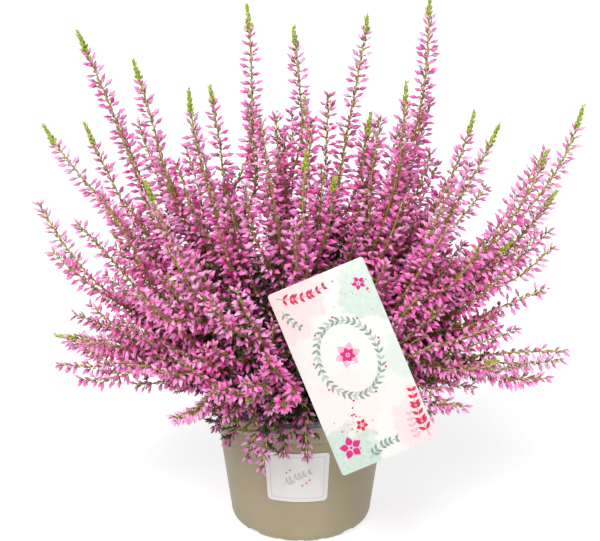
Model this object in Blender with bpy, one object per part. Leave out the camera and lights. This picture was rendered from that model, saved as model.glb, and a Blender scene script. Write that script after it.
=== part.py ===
# A heather in flower, in its round plastic nursery pot, with a picture label on a stake.
# Metres, +Z up, the pot's underside on z = 0 and its axis on Z. The label faces -Y.
import math

import bmesh
import bpy
import numpy as np
from mathutils import Matrix, Vector

mm = 0.001

# Pot: radii and heights
POT_SIDES = 40
POT_TOP = 92.0 * mm
RIM_RADIUS = 60.0 * mm
RIM_LIP = 7.5 * mm
RIM_RISE = 2.0 * mm
FOOT_RADIUS = 48.9 * mm
FOOT_HEIGHT = 8.0 * mm
BASE_RADIUS = 43.5 * mm
GROOVE_DEPTH = 0.4 * mm
GROOVE_Z = 80.0 * mm
GROOVE_HALF = 0.8 * mm
WALL = 1.6 * mm
FLOOR = 2.2 * mm
DRAIN_HOLES = 8
DRAIN_RADIUS = 3.5 * mm
DRAIN_CIRCLE = 31.0 * mm
NOTCH_HEIGHT = 3.6 * mm
NOTCH_REACH = 7.0 * mm
# Each quarter of the foot's edge: where it is let in, in degrees, and how wide, in mm
NOTCHES = ((0.0, 4.0), (18.0, 4.5), (-18.0, 4.5), (45.0, 12.0))

# Growing medium
SOIL_TOP = 81.0 * mm
SEAT_GAP = 0.3 * mm
HOLE_DEPTH = 20.0 * mm
STEM_HOLE_RADIUS = 2.4 * mm

# Label: a card that leans back and tilts to the left, and its stake
CARD_WIDTH = 66.0 * mm
CARD_HEIGHT = 126.0 * mm
CARD_THICKNESS = 1.0 * mm
CARD_CORNER = 2.0 * mm
CARD_CENTRE = Vector((33.0, -82.0, 147.5)) * mm
CARD_LEAN = math.radians(18.0)
CARD_TILT = math.radians(22.7)
STAKE_FOOT = Vector((20.0, -39.0, 0.0)) * mm
STAKE_WIDTH = 5.0 * mm
STAKE_THICKNESS = 2.0 * mm

# Sticker on the pot's front
STICKER_WIDTH = 42.5 * mm
STICKER_BOTTOM = 34.5 * mm
STICKER_HEIGHT = 38.5 * mm
STICKER_CORNER = 3.0 * mm
STICKER_THICKNESS = 0.6 * mm
STICKER_SHIFT = math.radians(-2.8)

# Stems and buds
ROOT_SPREAD = 43.0 * mm
STEM_RADIUS = 1.5 * mm
STEM_TIP_RADIUS = 0.9 * mm
BUD_STEP = 22.0 * mm
LEAFY_STEP = 15.5 * mm
SHORTEST_STEP = 9.0 * mm
FEWEST_STEPS = 4
BUD_REACH = 7.6 * mm
LOW_BUD_LIFT = 0.85
HIGH_BUD_LIFT = 1.25
TIP_LENGTH = 13.0 * mm
LEAFY_FROM = 26.0 * mm
LEAFY_RADIUS = 3.0 * mm
CLEAR_STEMS = 5.0 * mm
ROOT_SPACING = 0.2
TIP_SPACING = 0.08
MOVE_OVER = 90.0 * mm
SWAY = 0.022
SWAY_LENGTH = 45.0 * mm
FARTHEST_SHARE = 1.12
SHORTEST_SIDE = 8
SEED = 20

# Each spray's tips in mm, the tallest first: x to the right, y to the back, z from the floor
SPRAY_TIPS = [
    [(-145, 0, 345), (-128, 10, 290)],
    [(-168, 0, 285), (-155, 30, 272)],
    [(-115, 20, 320), (-95, -30, 290)],
    [(-72, -40, 320), (-62, 5, 310), (-84, -30, 268)],
    [(-35, 20, 360), (-48, 10, 292)],
    [(-5, 20, 345), (-14, 0, 280)],
    [(-25, -45, 300), (-38, -62, 262)],
    [(-98, -90, 275), (-84, -96, 238)],
    [(-173, -20, 235), (-160, -42, 215)],
    [(45, 30, 350), (26, 22, 298)],
    [(80, 0, 365), (84, 18, 298), (66, -8, 290)],
    [(66, -50, 325), (54, -36, 300)],
    [(112, 5, 293), (113, 20, 248)],
    [(123, -40, 296), (104, -48, 262)],
    [(185, 0, 297), (165, 12, 262)],
    [(162, -40, 275), (178, -22, 242)],
    [(80, 40, 282), (92, 48, 244)],
    [(8, -8, 290), (16, -26, 262)],
    [(3, -72, 284), (18, -62, 268), (-8, -84, 238)],
    [(38, -70, 272), (28, -66, 240)],
    [(-169, 0, 130), (-166, -22, 110)],
    [(-137, -40, 174), (-134, -62, 160)],
    [(-82, -66, 104), (-100, -58, 122)],
    [(-40, -108, 212), (-58, -100, 206)],
    [(-22, -112, 168), (-6, -108, 150)],
    [(-44, -90, 134), (-56, -84, 118)],
    [(164, -20, 176), (150, -2, 160)],
    [(173, -34, 142), (152, -50, 132)],
    [(126, -70, 174), (136, -62, 138)],
    [(100, -62, 112), (112, -44, 120)],
    [(-108, -84, 196), (-92, -98, 176)],
    [(-118, -64, 140), (-100, -80, 138)],
    [(-24, -76, 66), (-36, -74, 76), (-12, -78, 78)],
    [(-46, -60, 78), (-58, -50, 84)],
    [(-140, -56, 238), (-126, -30, 246)],
    [(92, -66, 238), (112, -62, 218)],
    [(-76, -104, 160), (-68, -94, 128)],
    [(148, -30, 222), (136, -48, 196)],
    [(4, -78, 76), (-8, -72, 92)],
]
# Where a few tall stems pass on their way up, by spray: they lean in over the middle
THROUGH = {4: (-62, 20, 215), 5: (-24, 20, 235)}
# The back, which is out of sight: its sprays alternate between these shares and reaches
BACK_SPRAYS = 13
BACK_FROM, BACK_SPAN = 12.0, 156.0
BACK_SHARES = (0.62, 0.93, 0.78)
BACK_REACHES = (205.0 * mm, 125.0 * mm, 175.0 * mm)
BACK_BESIDE = 0.13
# Leafy shoots without flowers, as (turn in degrees, share)
LEAFY_PLACES = ((-150.0, 0.8), (-112.0, 0.62), (-28.0, 0.86), (70.0, 0.5))
LEAFY_REACH = 85.0 * mm
LEAFY_SHOOTS = len(LEAFY_PLACES)
# How far a side stem's spot may lie from its main one's, and where along the way it forks off
LEAST_ASIDE, MOST_ASIDE = 0.1, 0.24
FORK = 0.42
TALL = 165.0 * mm

rng = np.random.default_rng(SEED)


def clear_scene():
    for item in list(bpy.data.objects):
        bpy.data.objects.remove(item, do_unlink=True)


def make_material(name, colour, roughness):
    material = bpy.data.materials.new(name)
    material.use_nodes = True
    shader = material.node_tree.nodes["Principled BSDF"]
    shader.inputs["Base Color"].default_value = (*colour, 1.0)
    shader.inputs["Roughness"].default_value = roughness
    shader.inputs["Metallic"].default_value = 0.0
    material.diffuse_color = (*colour, 1.0)
    return material


def add_object(name, bm, material=None):
    mesh = bpy.data.meshes.new(name)
    bmesh.ops.recalc_face_normals(bm, faces=bm.faces)
    bm.to_mesh(mesh)
    bm.free()
    if material:
        mesh.materials.append(material)
    item = bpy.data.objects.new(name, mesh)
    bpy.context.scene.collection.objects.link(item)
    return item


def apply_boolean(item, other, operation, solver="EXACT"):
    modifier = item.modifiers.new(operation.title(), "BOOLEAN")
    modifier.operation = operation
    modifier.solver = solver
    if isinstance(other, bpy.types.Collection):
        modifier.operand_type = "COLLECTION"
        modifier.collection = other
        cutters = list(other.objects)
    else:
        modifier.object = other
        cutters = [other]
    bpy.context.view_layer.update()
    shape = item.evaluated_get(bpy.context.evaluated_depsgraph_get())
    mesh = bpy.data.meshes.new_from_object(shape)
    item.modifiers.clear()
    item.data = mesh
    for cutter in cutters:
        bpy.data.objects.remove(cutter, do_unlink=True)
    if isinstance(other, bpy.types.Collection):
        bpy.data.collections.remove(other)


def lathe(bm, profile, sides):
    """Turn a profile of (radius, z) points about Z; a closed ring of points, none on the axis."""
    rings = []
    for radius, z in profile:
        ring = []
        for side in range(sides):
            turn = 2 * math.pi * side / sides
            ring.append(bm.verts.new((radius * math.sin(turn), -radius * math.cos(turn), z)))
        rings.append(ring)
    for lower, upper in zip(rings, rings[1:]):
        for side in range(sides):
            after = (side + 1) % sides
            bm.faces.new((lower[side], lower[after], upper[after], upper[side]))
    return rings


def prism(bm, outline, bottom, top):
    low = [bm.verts.new((x, y, bottom)) for x, y in outline]
    high = [bm.verts.new((x, y, top)) for x, y in outline]
    bm.faces.new(low[::-1])
    bm.faces.new(high)
    for here in range(len(outline)):
        after = (here + 1) % len(outline)
        bm.faces.new((low[here], low[after], high[after], high[here]))


def polygon(x, y, radius, sides):
    turns = [2 * math.pi * side / sides for side in range(sides)]
    return [(x + radius * math.cos(turn), y + radius * math.sin(turn)) for turn in turns]


def wall_radius(z):
    """The pot's outer radius at a height on its sloping wall."""
    along = (z - FOOT_HEIGHT) / (POT_TOP - FOOT_HEIGHT)
    return FOOT_RADIUS + along * (RIM_RADIUS - FOOT_RADIUS)


def make_pot():
    outside = [
        (BASE_RADIUS, 0.0),
        (FOOT_RADIUS - 1.2 * mm, 3.0 * mm),
        (FOOT_RADIUS, FOOT_HEIGHT),
        (wall_radius(GROOVE_Z - GROOVE_HALF), GROOVE_Z - GROOVE_HALF),
        (wall_radius(GROOVE_Z) - GROOVE_DEPTH, GROOVE_Z),
        (wall_radius(GROOVE_Z + GROOVE_HALF), GROOVE_Z + GROOVE_HALF),
        (RIM_RADIUS - 0.5 * mm, POT_TOP - 1.0 * mm),
        (RIM_RADIUS, POT_TOP),
    ]
    lip_inner = RIM_RADIUS - RIM_LIP
    inside = [
        (RIM_RADIUS - RIM_LIP / 2, POT_TOP + RIM_RISE / 2 + 0.4 * mm),
        (lip_inner, POT_TOP + RIM_RISE),
        (lip_inner, POT_TOP + RIM_RISE - WALL),
        (wall_radius(POT_TOP - 4 * mm) - WALL, POT_TOP - 4 * mm),
        (FOOT_RADIUS - WALL, FOOT_HEIGHT),
        (BASE_RADIUS - WALL / 2, FLOOR),
    ]
    bm = bmesh.new()
    rings = lathe(bm, outside + inside, POT_SIDES)
    bm.faces.new(rings[0][::-1])
    bm.faces.new(rings[-1])
    plastic = make_material("taupe_polypropylene", (0.352, 0.319, 0.23), 0.5)
    pot = add_object("pot", bm, plastic)

    cutters = bmesh.new()
    for hole in range(DRAIN_HOLES):
        turn = 2 * math.pi * (hole + 0.5) / DRAIN_HOLES
        x, y = DRAIN_CIRCLE * math.cos(turn), DRAIN_CIRCLE * math.sin(turn)
        prism(cutters, polygon(x, y, DRAIN_RADIUS, 10), -mm, FLOOR + mm)
    # The foot's edge is let in at its sides, and in three narrow places between them
    for quarter in range(4):
        for offset, width in NOTCHES:
            turn = math.radians(90.0 * quarter + offset) - math.pi / 2
            outward = Vector((math.cos(turn), math.sin(turn)))
            across = Vector((-math.sin(turn), math.cos(turn))) * width * mm / 2
            near, far = outward * (BASE_RADIUS - NOTCH_REACH / 3), outward * (BASE_RADIUS + NOTCH_REACH)
            corners = (near - across, far - across, far + across, near + across)
            high = NOTCH_HEIGHT if width > 10 else NOTCH_HEIGHT * 0.45
            notch = bmesh.new()
            prism(notch, [tuple(corner) for corner in corners], -mm, high)
            mesh = bpy.data.meshes.new("notch")
            notch.to_mesh(mesh)
            notch.free()
            cutters.from_mesh(mesh)
            bpy.data.meshes.remove(mesh)
    apply_boolean(pot, add_object("pot_cutters", cutters), "DIFFERENCE")


def make_soil(roots):
    top_radius = wall_radius(SOIL_TOP) - WALL - SEAT_GAP * 1.3
    profile = [
        (BASE_RADIUS - WALL / 2 - SEAT_GAP * 2, FLOOR + SEAT_GAP),
        (FOOT_RADIUS - WALL - SEAT_GAP * 1.3, FOOT_HEIGHT + SEAT_GAP),
        (top_radius, SOIL_TOP),
    ]
    bm = bmesh.new()
    rings = lathe(bm, profile, POT_SIDES)
    bm.faces.new(rings[0][::-1])
    bm.faces.new(rings[-1])
    soil = add_object("soil", bm, make_material("peat_growing_medium", (0.03, 0.02, 0.013), 0.95))

    holes = bmesh.new()
    bottom = SOIL_TOP - HOLE_DEPTH
    for x, y in roots:
        prism(holes, polygon(x, y, STEM_HOLE_RADIUS, 5), bottom, SOIL_TOP + mm)
    wide, deep = STAKE_WIDTH / 2 + SEAT_GAP, STAKE_THICKNESS / 2 + SEAT_GAP
    x, y = STAKE_FOOT.x, STAKE_FOOT.y
    slot = [(x - wide, y - deep), (x + wide, y - deep), (x + wide, y + deep), (x - wide, y + deep)]
    prism(holes, slot, bottom, SOIL_TOP + mm)
    apply_boolean(soil, add_object("stem_holes", holes), "DIFFERENCE")


def make_sticker():
    """A patch bent round the wall; each column of it lies along a straight line of the pot's slope."""
    half = STICKER_WIDTH / 2
    corner = [half - STICKER_CORNER * (1 - math.cos(math.radians(step))) for step in (0, 30, 60, 90)]
    level = [half * step / 4 for step in (3, 2, 1)]
    right = corner + [x for x in level if x < corner[-1] - mm]
    columns = sorted({-x for x in right} | {0.0} | set(right))
    bm = bmesh.new()
    middle = STICKER_BOTTOM + STICKER_HEIGHT / 2
    radius = wall_radius(middle)
    rows = []
    for x in columns:
        inset = max(0.0, abs(x) - (half - STICKER_CORNER)) / STICKER_CORNER
        drop = STICKER_CORNER * (1 - math.sqrt(max(0.0, 1 - inset * inset)))
        low, high = STICKER_BOTTOM + drop, STICKER_BOTTOM + STICKER_HEIGHT - drop
        turn = x / radius + STICKER_SHIFT
        row = []
        for away in (SEAT_GAP, SEAT_GAP + STICKER_THICKNESS):
            for z in (low, high):
                reach = wall_radius(z) + away
                row.append(bm.verts.new((reach * math.sin(turn), -reach * math.cos(turn), z)))
        rows.append(row)
    for here, after in zip(rows, rows[1:]):
        for one, two in ((0, 1), (1, 3), (3, 2), (2, 0)):
            bm.faces.new((here[one], here[two], after[two], after[one]))
    bm.faces.new([rows[0][corner] for corner in (0, 2, 3, 1)])
    bm.faces.new([rows[-1][corner] for corner in (0, 1, 3, 2)])
    add_object("pot_sticker", bm, make_material("white_vinyl", (0.75, 0.75, 0.72), 0.45))


def card_frame():
    """The card's own axes: right and up along it, and out of its printed face."""
    face = Vector((0.0, -math.cos(CARD_LEAN), math.sin(CARD_LEAN)))
    level = Vector((1.0, 0.0, 0.0))
    rise = level.cross(face) * -1
    up = rise * math.cos(CARD_TILT) - level * math.sin(CARD_TILT)
    right = level * math.cos(CARD_TILT) + rise * math.sin(CARD_TILT)
    return right, up, face


def make_label():
    right, up, face = card_frame()
    outline = []
    for side_x, side_y, start in ((1, 1, 0), (-1, 1, 90), (-1, -1, 180), (1, -1, 270)):
        for step in (0, 30, 60, 90):
            turn = math.radians(start + step)
            x = side_x * (CARD_WIDTH / 2 - CARD_CORNER) + CARD_CORNER * math.cos(turn)
            y = side_y * (CARD_HEIGHT / 2 - CARD_CORNER) + CARD_CORNER * math.sin(turn)
            outline.append((x, y))
    bm = bmesh.new()
    prism(bm, outline, -CARD_THICKNESS / 2, CARD_THICKNESS / 2)
    place = Matrix((right, up, face)).transposed().to_4x4()
    place.translation = CARD_CENTRE
    bmesh.ops.transform(bm, matrix=place, verts=bm.verts)
    label = add_object("plant_label", bm, make_material("white_card_plastic", (0.82, 0.81, 0.76), 0.4))

    # The stake stands upright in the growing medium, then bends forward to the back of the card
    path = [
        Vector((STAKE_FOOT.x, STAKE_FOOT.y, SOIL_TOP - HOLE_DEPTH + SEAT_GAP)),
        Vector((STAKE_FOOT.x, STAKE_FOOT.y, SOIL_TOP + 12 * mm)),
        CARD_CENTRE - face * 4 * mm - up * 10 * mm,
        CARD_CENTRE - face * (CARD_THICKNESS * 0.1) + up * 4 * mm,
    ]
    stake = bmesh.new()
    rings = []
    for here, point in enumerate(path):
        before, after = path[max(here - 1, 0)], path[min(here + 1, len(path) - 1)]
        along = (after - before).normalized()
        side = Vector((1.0, 0.0, 0.0))
        side = (side - along * side.dot(along)).normalized() * STAKE_WIDTH / 2
        out = along.cross(side).normalized() * STAKE_THICKNESS / 2
        rings.append([stake.verts.new(point + a * side + b * out) for a, b in ((-1, -1), (1, -1), (1, 1), (-1, 1))])
    for lower, upper in zip(rings, rings[1:]):
        for here in range(4):
            after = (here + 1) % 4
            stake.faces.new((lower[here], lower[after], upper[after], upper[here]))
    stake.faces.new(rings[0][::-1])
    stake.faces.new(rings[-1])
    apply_boolean(label, add_object("stake", stake), "UNION")
    return path


# The plant's stems follow one family of lines that fan out of the pot and never cross.
# "share" is how far out a line starts: 0 at the middle of the plant, 1 at its edge. Past 1 it
# droops over the rim. "reach" is the distance along it from the growing medium.
SHARE_STEP = 0.02
REACH_STEP = 4.0 * mm
SHARES = np.arange(0.0, 1.1401, SHARE_STEP)
REACHES = np.arange(0.0, 0.360, REACH_STEP)
UPRIGHT = 14.0 * mm
BEND = 28.0 * mm
STRAIGHTEN = 230.0 * mm
# Lean from the vertical, in degrees, after the bend and at the end, for each share
LEAN_SHARES = (0.0, 0.25, 0.5, 0.7, 0.85, 0.95, 1.04, 1.14)
LEAN_START = (0.0, 14.0, 31.0, 48.0, 66.0, 82.0, 108.0, 158.0)
LEAN_END = (0.0, 4.0, 9.0, 15.0, 30.0, 62.0, 88.0, 170.0)


def ease(value):
    value = np.clip(value, 0.0, 1.0)
    return value * value * (3 - 2 * value)


def fan_tables():
    start = np.radians(np.interp(SHARES, LEAN_SHARES, LEAN_START))[:, None]
    end = np.radians(np.interp(SHARES, LEAN_SHARES, LEAN_END))[:, None]
    bend = ease((REACHES - UPRIGHT) / BEND)[None, :]
    relax = np.clip((REACHES - UPRIGHT - BEND) / STRAIGHTEN, 0.0, 1.0)[None, :]
    lean = bend * (start + (end - start) * relax)
    out = SHARES[:, None] * ROOT_SPREAD + np.cumsum(np.sin(lean), axis=1) * REACH_STEP
    high = SOIL_TOP + np.cumsum(np.cos(lean), axis=1) * REACH_STEP
    return out, high


FAN_OUT, FAN_HIGH = fan_tables()


def fan_points(spot, reach):
    """Points of the fan for spots in the unit disk and distances along their lines."""
    spot, reach = np.atleast_2d(spot), np.atleast_1d(reach)
    share = np.clip(np.linalg.norm(spot, axis=1), 1e-6, SHARES[-1] - 1e-6)
    column, row = share / SHARE_STEP, np.clip(reach / REACH_STEP, 0, len(REACHES) - 1.001)
    i, j = column.astype(int), row.astype(int)
    i = np.minimum(i, len(SHARES) - 2)
    a, b = column - i, row - j
    values = []
    for table in (FAN_OUT, FAN_HIGH):
        low = table[i, j] * (1 - b) + table[i, j + 1] * b
        high = table[i + 1, j] * (1 - b) + table[i + 1, j + 1] * b
        values.append(low * (1 - a) + high * a)
    turn = np.arctan2(spot[:, 1], spot[:, 0])
    return np.stack([values[0] * np.cos(turn), values[0] * np.sin(turn), values[1]], axis=1)


def find_line(tip):
    """The spot in the disk, and the reach, whose point of the fan is nearest to a tip."""
    x, y, z = (value * mm for value in tip)
    error = (FAN_OUT - math.hypot(x, y)) ** 2 + (FAN_HIGH - z) ** 2
    i, j = np.unravel_index(np.argmin(error), error.shape)
    share, turn = max(SHARES[i], 0.03), math.atan2(y, x)
    return np.array((share * math.cos(turn), share * math.sin(turn))), max(REACHES[j], 50 * mm)


def spread_apart(spots, least, rounds=200):
    """Push crowded spots apart until they are at least this far from each other; the last stays."""
    spots, last = spots.copy(), spots[-1].copy()
    for _ in range(rounds):
        gap = spots[:, None] - spots[None]
        distance = np.linalg.norm(gap, axis=2) + np.eye(len(spots)) * 9
        short = np.maximum(0.0, least - distance)
        spots += (gap / distance[..., None] * short[..., None]).sum(axis=1) * 0.35
        share = np.linalg.norm(spots, axis=1, keepdims=True)
        spots *= np.minimum(1.0, FARTHEST_SHARE / share)
        spots[-1] = last
    return spots


def hold_up(spot, main_spot):
    """A side line droops over the rim only where its main line does."""
    most = max(0.98, np.linalg.norm(main_spot))
    return spot * min(1.0, most / np.linalg.norm(spot))


def sway(steps, phase):
    wave = steps / SWAY_LENGTH + phase
    return SWAY * ease(steps / MOVE_OVER) * np.array([np.cos(wave), np.sin(wave + phase)])


def course(main, steps):
    """The spots of a main stem along its way: from its root over to its tip's, swaying a little."""
    root, through, end, phase = main
    over = ease((steps - UPRIGHT) / MOVE_OVER)[:, None]
    spots = root * (1 - over) + through * over
    late = ease((steps - UPRIGHT - MOVE_OVER) / MOVE_OVER)[:, None]
    return spots * (1 - late) + end * late + sway(steps, phase).T


def plan_sprays():
    """Each plant piece as a main line with its side lines, each with its reach along the fan."""
    groups = [[find_line(tip) for tip in tips] for tips in SPRAY_TIPS]
    for index in range(BACK_SPRAYS):
        turn = BACK_FROM + BACK_SPAN * (index + rng.uniform(-0.3, 0.3)) / (BACK_SPRAYS - 1)
        turn = math.radians(turn)
        share = BACK_SHARES[index % 3] + rng.uniform(-0.04, 0.04)
        reach = BACK_REACHES[index % 3] * rng.uniform(0.9, 1.12)
        spot = np.array((share * math.cos(turn), share * math.sin(turn)))
        beside = spot + BACK_BESIDE * np.array((math.cos(turn + 1.9), math.sin(turn + 1.9)))
        groups.append([(spot, reach), (beside, reach * 0.82)])
    for degrees, share in LEAFY_PLACES:
        turn = math.radians(degrees)
        groups.append([(share * np.array((math.cos(turn), math.sin(turn))), LEAFY_REACH)])
    stake = np.array((STAKE_FOOT.x, STAKE_FOOT.y)) / ROOT_SPREAD
    mains = np.array([group[0][0] for group in groups] + [stake])
    roots, ends = spread_apart(mains, ROOT_SPACING), spread_apart(mains, TIP_SPACING)
    for index, group in enumerate(groups):
        reach, phase = group[0][1], rng.uniform(0, 2 * math.pi)
        root, end = roots[index], ends[index] - sway(reach, phase)
        through = find_line(THROUGH[index])[0] if index in THROUGH else end
        group[0] = ((root, through, end, phase), reach)
        for side in range(1, len(group)):
            offset = group[side][0] - mains[index]
            length = np.linalg.norm(offset)
            offset *= min(MOST_ASIDE, max(LEAST_ASIDE, length)) / max(length, 1e-6)
            group[side] = (hold_up(end + offset, end), group[side][1])
    # More side lines fill each spray out, lower down and towards the outside on a tall one
    for group in groups[:-LEAFY_SHOOTS]:
        (_, _, spot, _), reach = group[0]
        tall = reach > TALL
        outward = math.atan2(spot[1], spot[0])
        for extra in range(2 if tall else 1):
            turn = outward + rng.uniform(-1.3, 1.3) if tall else rng.uniform(0, 2 * math.pi)
            offset = rng.uniform(0.11, 0.2) * np.array((math.cos(turn), math.sin(turn)))
            part = rng.uniform(0.45, 0.62) if tall else rng.uniform(0.65, 0.9)
            group.append((hold_up(spot + offset, spot), reach * part))
    return groups


def main_line(main, reach):
    steps = np.arange(0.0, reach + REACH_STEP, REACH_STEP)
    return fan_points(course(main, steps), steps), steps


def side_line(main, main_reach, spot, reach):
    """A line that leaves the main one part of the way up and moves over to its own spot."""
    fork = min(FORK * reach, 0.5 * main_reach)
    steps = np.arange(fork, reach, REACH_STEP)
    part = ease((steps - fork) / max(FORK * reach, 30 * mm))[:, None]
    return fan_points(course(main, steps) * (1 - part) + spot[None] * part, steps), steps


def label_points(stake_path):
    """Points over the card's face and down the stake, which the plant keeps clear of."""
    right, up, face = card_frame()
    points = []
    for across in np.arange(-0.5, 0.51, 0.1):
        for along in np.arange(-0.5, 0.51, 0.05):
            points.append(CARD_CENTRE + right * across * CARD_WIDTH + up * along * CARD_HEIGHT)
    for here, after in zip(stake_path, stake_path[1:]):
        points += [here.lerp(after, step / 20) for step in range(20)]
    return np.array([tuple(point) for point in points])


def nearest(points, others):
    if not len(others):
        return np.full(len(points), 1.0)
    gap = points[:, None] - others[None]
    return np.sqrt((gap * gap).sum(axis=2).min(axis=1))


def grow_lines(groups, stake_path):
    """Every line as (points, steps, clearance); one that comes too close to another isn't kept."""
    label = label_points(stake_path)
    lines = []
    for index, group in enumerate(groups):
        points, steps = main_line(*group[0])
        blocked = np.nonzero((nearest(points, label) < 5.5 * mm) & (steps > 30 * mm))[0]
        if len(blocked):
            points, steps = points[: blocked[0] - 1], steps[: blocked[0] - 1]
        lines.append([index, points, steps])
    mains = list(lines)
    for index, group in enumerate(groups):
        main, main_reach = group[0][0], mains[index][2][-1]
        for spot, reach in group[1:]:
            points, steps = side_line(main, main_reach, spot, min(reach, main_reach * 1.05))
            blocked = np.nonzero(nearest(points, label) < 5.0 * mm)[0]
            if len(blocked):
                points, steps = points[: blocked[0] - 1], steps[: blocked[0] - 1]
            others = [line[1] for line in lines if line[0] != index]
            if len(points) >= SHORTEST_SIDE and nearest(points, np.concatenate(others)).min() > CLEAR_STEMS:
                own = [line[1] for line in lines if line[0] == index]
                if nearest(points[-4:], np.concatenate(own)).min() > 3.5 * mm:
                    lines.append([index, points, steps])
    for line in lines:
        others = np.concatenate([other[1] for other in lines if other is not line])
        line.append(np.minimum(nearest(line[1], others) / 2, nearest(line[1], label) - mm) - 0.5 * mm)
    return lines


def sweep(bm, points, radii, buds, twist):
    """A three-sided stem through the points. Where buds is above 0 it twists by a sixth of a turn
    at each step, and each of the step's six triangles rises to a pointed bud that leans tipward."""
    along = np.gradient(points, axis=0)
    along /= np.linalg.norm(along, axis=1, keepdims=True)
    side = np.cross(along[0], (0.3, 0.9, 0.2))
    rings = []
    for index, (point, axis) in enumerate(zip(points, along)):
        side = side - axis * side.dot(axis)
        side /= np.linalg.norm(side)
        other = np.cross(axis, side)
        if index and buds[index - 1] > 0:
            twist += math.pi / 3
        ring = []
        for corner in range(3):
            turn = twist + corner * 2 * math.pi / 3
            ring.append(bm.verts.new(point + radii[index] * (side * math.cos(turn) + other * math.sin(turn))))
        rings.append(ring)
    for index, (lower, upper) in enumerate(zip(rings, rings[1:])):
        axis = along[index]
        step = np.linalg.norm(points[index + 1] - points[index])
        for corner in range(3):
            after = (corner + 1) % 3
            low_face = (lower[corner], lower[after], upper[corner])
            high_face = (lower[after], upper[after], upper[corner])
            for face, lift in ((low_face, LOW_BUD_LIFT), (high_face, HIGH_BUD_LIFT)):
                if buds[index] <= 0:
                    bm.faces.new(face)
                    continue
                middle = sum((np.array(vert.co) for vert in face), np.zeros(3)) / 3
                outward = middle - (points[index] + points[index + 1]) / 2
                outward -= axis * outward.dot(axis)
                outward *= buds[index] / np.linalg.norm(outward)
                apex = bm.verts.new(points[index] + axis * step * lift + outward)
                for here in range(3):
                    bm.faces.new((face[here], face[(here + 1) % 3], apex))
    bm.faces.new(rings[0][::-1])
    tip = bm.verts.new(points[-1] + along[-1] * TIP_LENGTH)
    for corner in range(3):
        bm.faces.new((rings[-1][corner], rings[-1][(corner + 1) % 3], tip))


def line_mesh(line, is_main, leafy):
    """One line of the fan as a closed mesh: bare below, with whorls of buds or leaves above."""
    index, points, steps, clear = line
    total = steps[-1]
    first = max(32 * mm, total * (0.25 if leafy else 0.48)) if is_main else steps[0] + 0.2 * (total - steps[0])
    pitch = min(LEAFY_STEP if leafy else BUD_STEP, max(SHORTEST_STEP, (total - first) / FEWEST_STEPS))
    stations = [steps[0]]
    if is_main:
        stations += [UPRIGHT, 22 * mm, 30 * mm]
    while stations[-1] + 20 * mm < first:
        stations.append(stations[-1] + 18 * mm)
    end = total - (0 if leafy else TIP_LENGTH)
    count = max(1, round((end - stations[-1]) / pitch))
    pitch = (end - stations[-1]) / count
    stations = np.array(stations + [stations[-1] + pitch * (step + 1) for step in range(count)])
    place = np.stack([np.interp(stations, steps, points[:, axis]) for axis in range(3)], axis=1)
    part = stations / total
    radii = STEM_RADIUS + (STEM_TIP_RADIUS - STEM_RADIUS) * part
    if not is_main:
        radii = radii * 0.85
    room = np.array([clear[(steps > station - pitch) & (steps < station + 2.2 * pitch)].min() for station in stations])
    buds = np.minimum(BUD_REACH * rng.uniform(0.86, 1.06, len(stations)), room)
    buds *= np.clip(1.25 - 0.55 * part ** 4, 0.6, 1.0)
    buds[(stations < first) | (buds < radii * 1.7)] = 0.0
    # Below the buds the stem is clothed in small leaves, as far as its neighbours leave room
    clothed = (stations > LEAFY_FROM) & (buds <= 0)
    radii = np.where(clothed, np.clip(room * 0.8, radii, LEAFY_RADIUS), radii)
    if is_main:
        under = np.array([[place[0, 0], place[0, 1], SOIL_TOP - HOLE_DEPTH + SEAT_GAP]])
        place = np.concatenate([under, place])
        radii = np.concatenate([radii[:1], radii])
        buds = np.concatenate([[0.0], buds])
    bm = bmesh.new()
    sweep(bm, place, radii, buds, rng.uniform(0, 2))
    return bm


def make_plant(lines, count):
    pinks = ((0.62, 0.10, 0.36), (0.70, 0.16, 0.45), (0.55, 0.07, 0.31), (0.74, 0.24, 0.50))
    for index in range(count):
        own = [line for line in lines if line[0] == index]
        leafy = index >= count - LEAFY_SHOOTS
        if leafy:
            name = f"leafy_shoot_{index - (count - LEAFY_SHOOTS) + 1:02d}"
            material = make_material("heather_leaf_" + name[-2:], (0.07, 0.16, 0.03), 0.6)
        else:
            name = f"flower_spray_{index + 1:02d}"
            material = make_material("heather_bud_" + name[-2:], pinks[index % len(pinks)], 0.55)
        spray = add_object(name, line_mesh(own[0], True, leafy), material)
        if len(own) > 1:
            sides = bpy.data.collections.new("side_spikes")
            bpy.context.scene.collection.children.link(sides)
            for line in own[1:]:
                spike = add_object("side_spike", line_mesh(line, False, leafy))
                bpy.context.scene.collection.objects.unlink(spike)
                sides.objects.link(spike)
            apply_boolean(spray, sides, "UNION", "MANIFOLD")
            spray.data.materials.clear()
            spray.data.materials.append(material)


clear_scene()
make_pot()
make_sticker()
stake = make_label()
sprays = plan_sprays()
plant_lines = grow_lines(sprays, stake)
make_soil([tuple(line[1][0][:2]) for line in plant_lines[: len(sprays)]])
make_plant(plant_lines, len(sprays))
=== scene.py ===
import math

import bmesh
import bpy
import numpy as np
from mathutils import Matrix, Vector, noise


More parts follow.
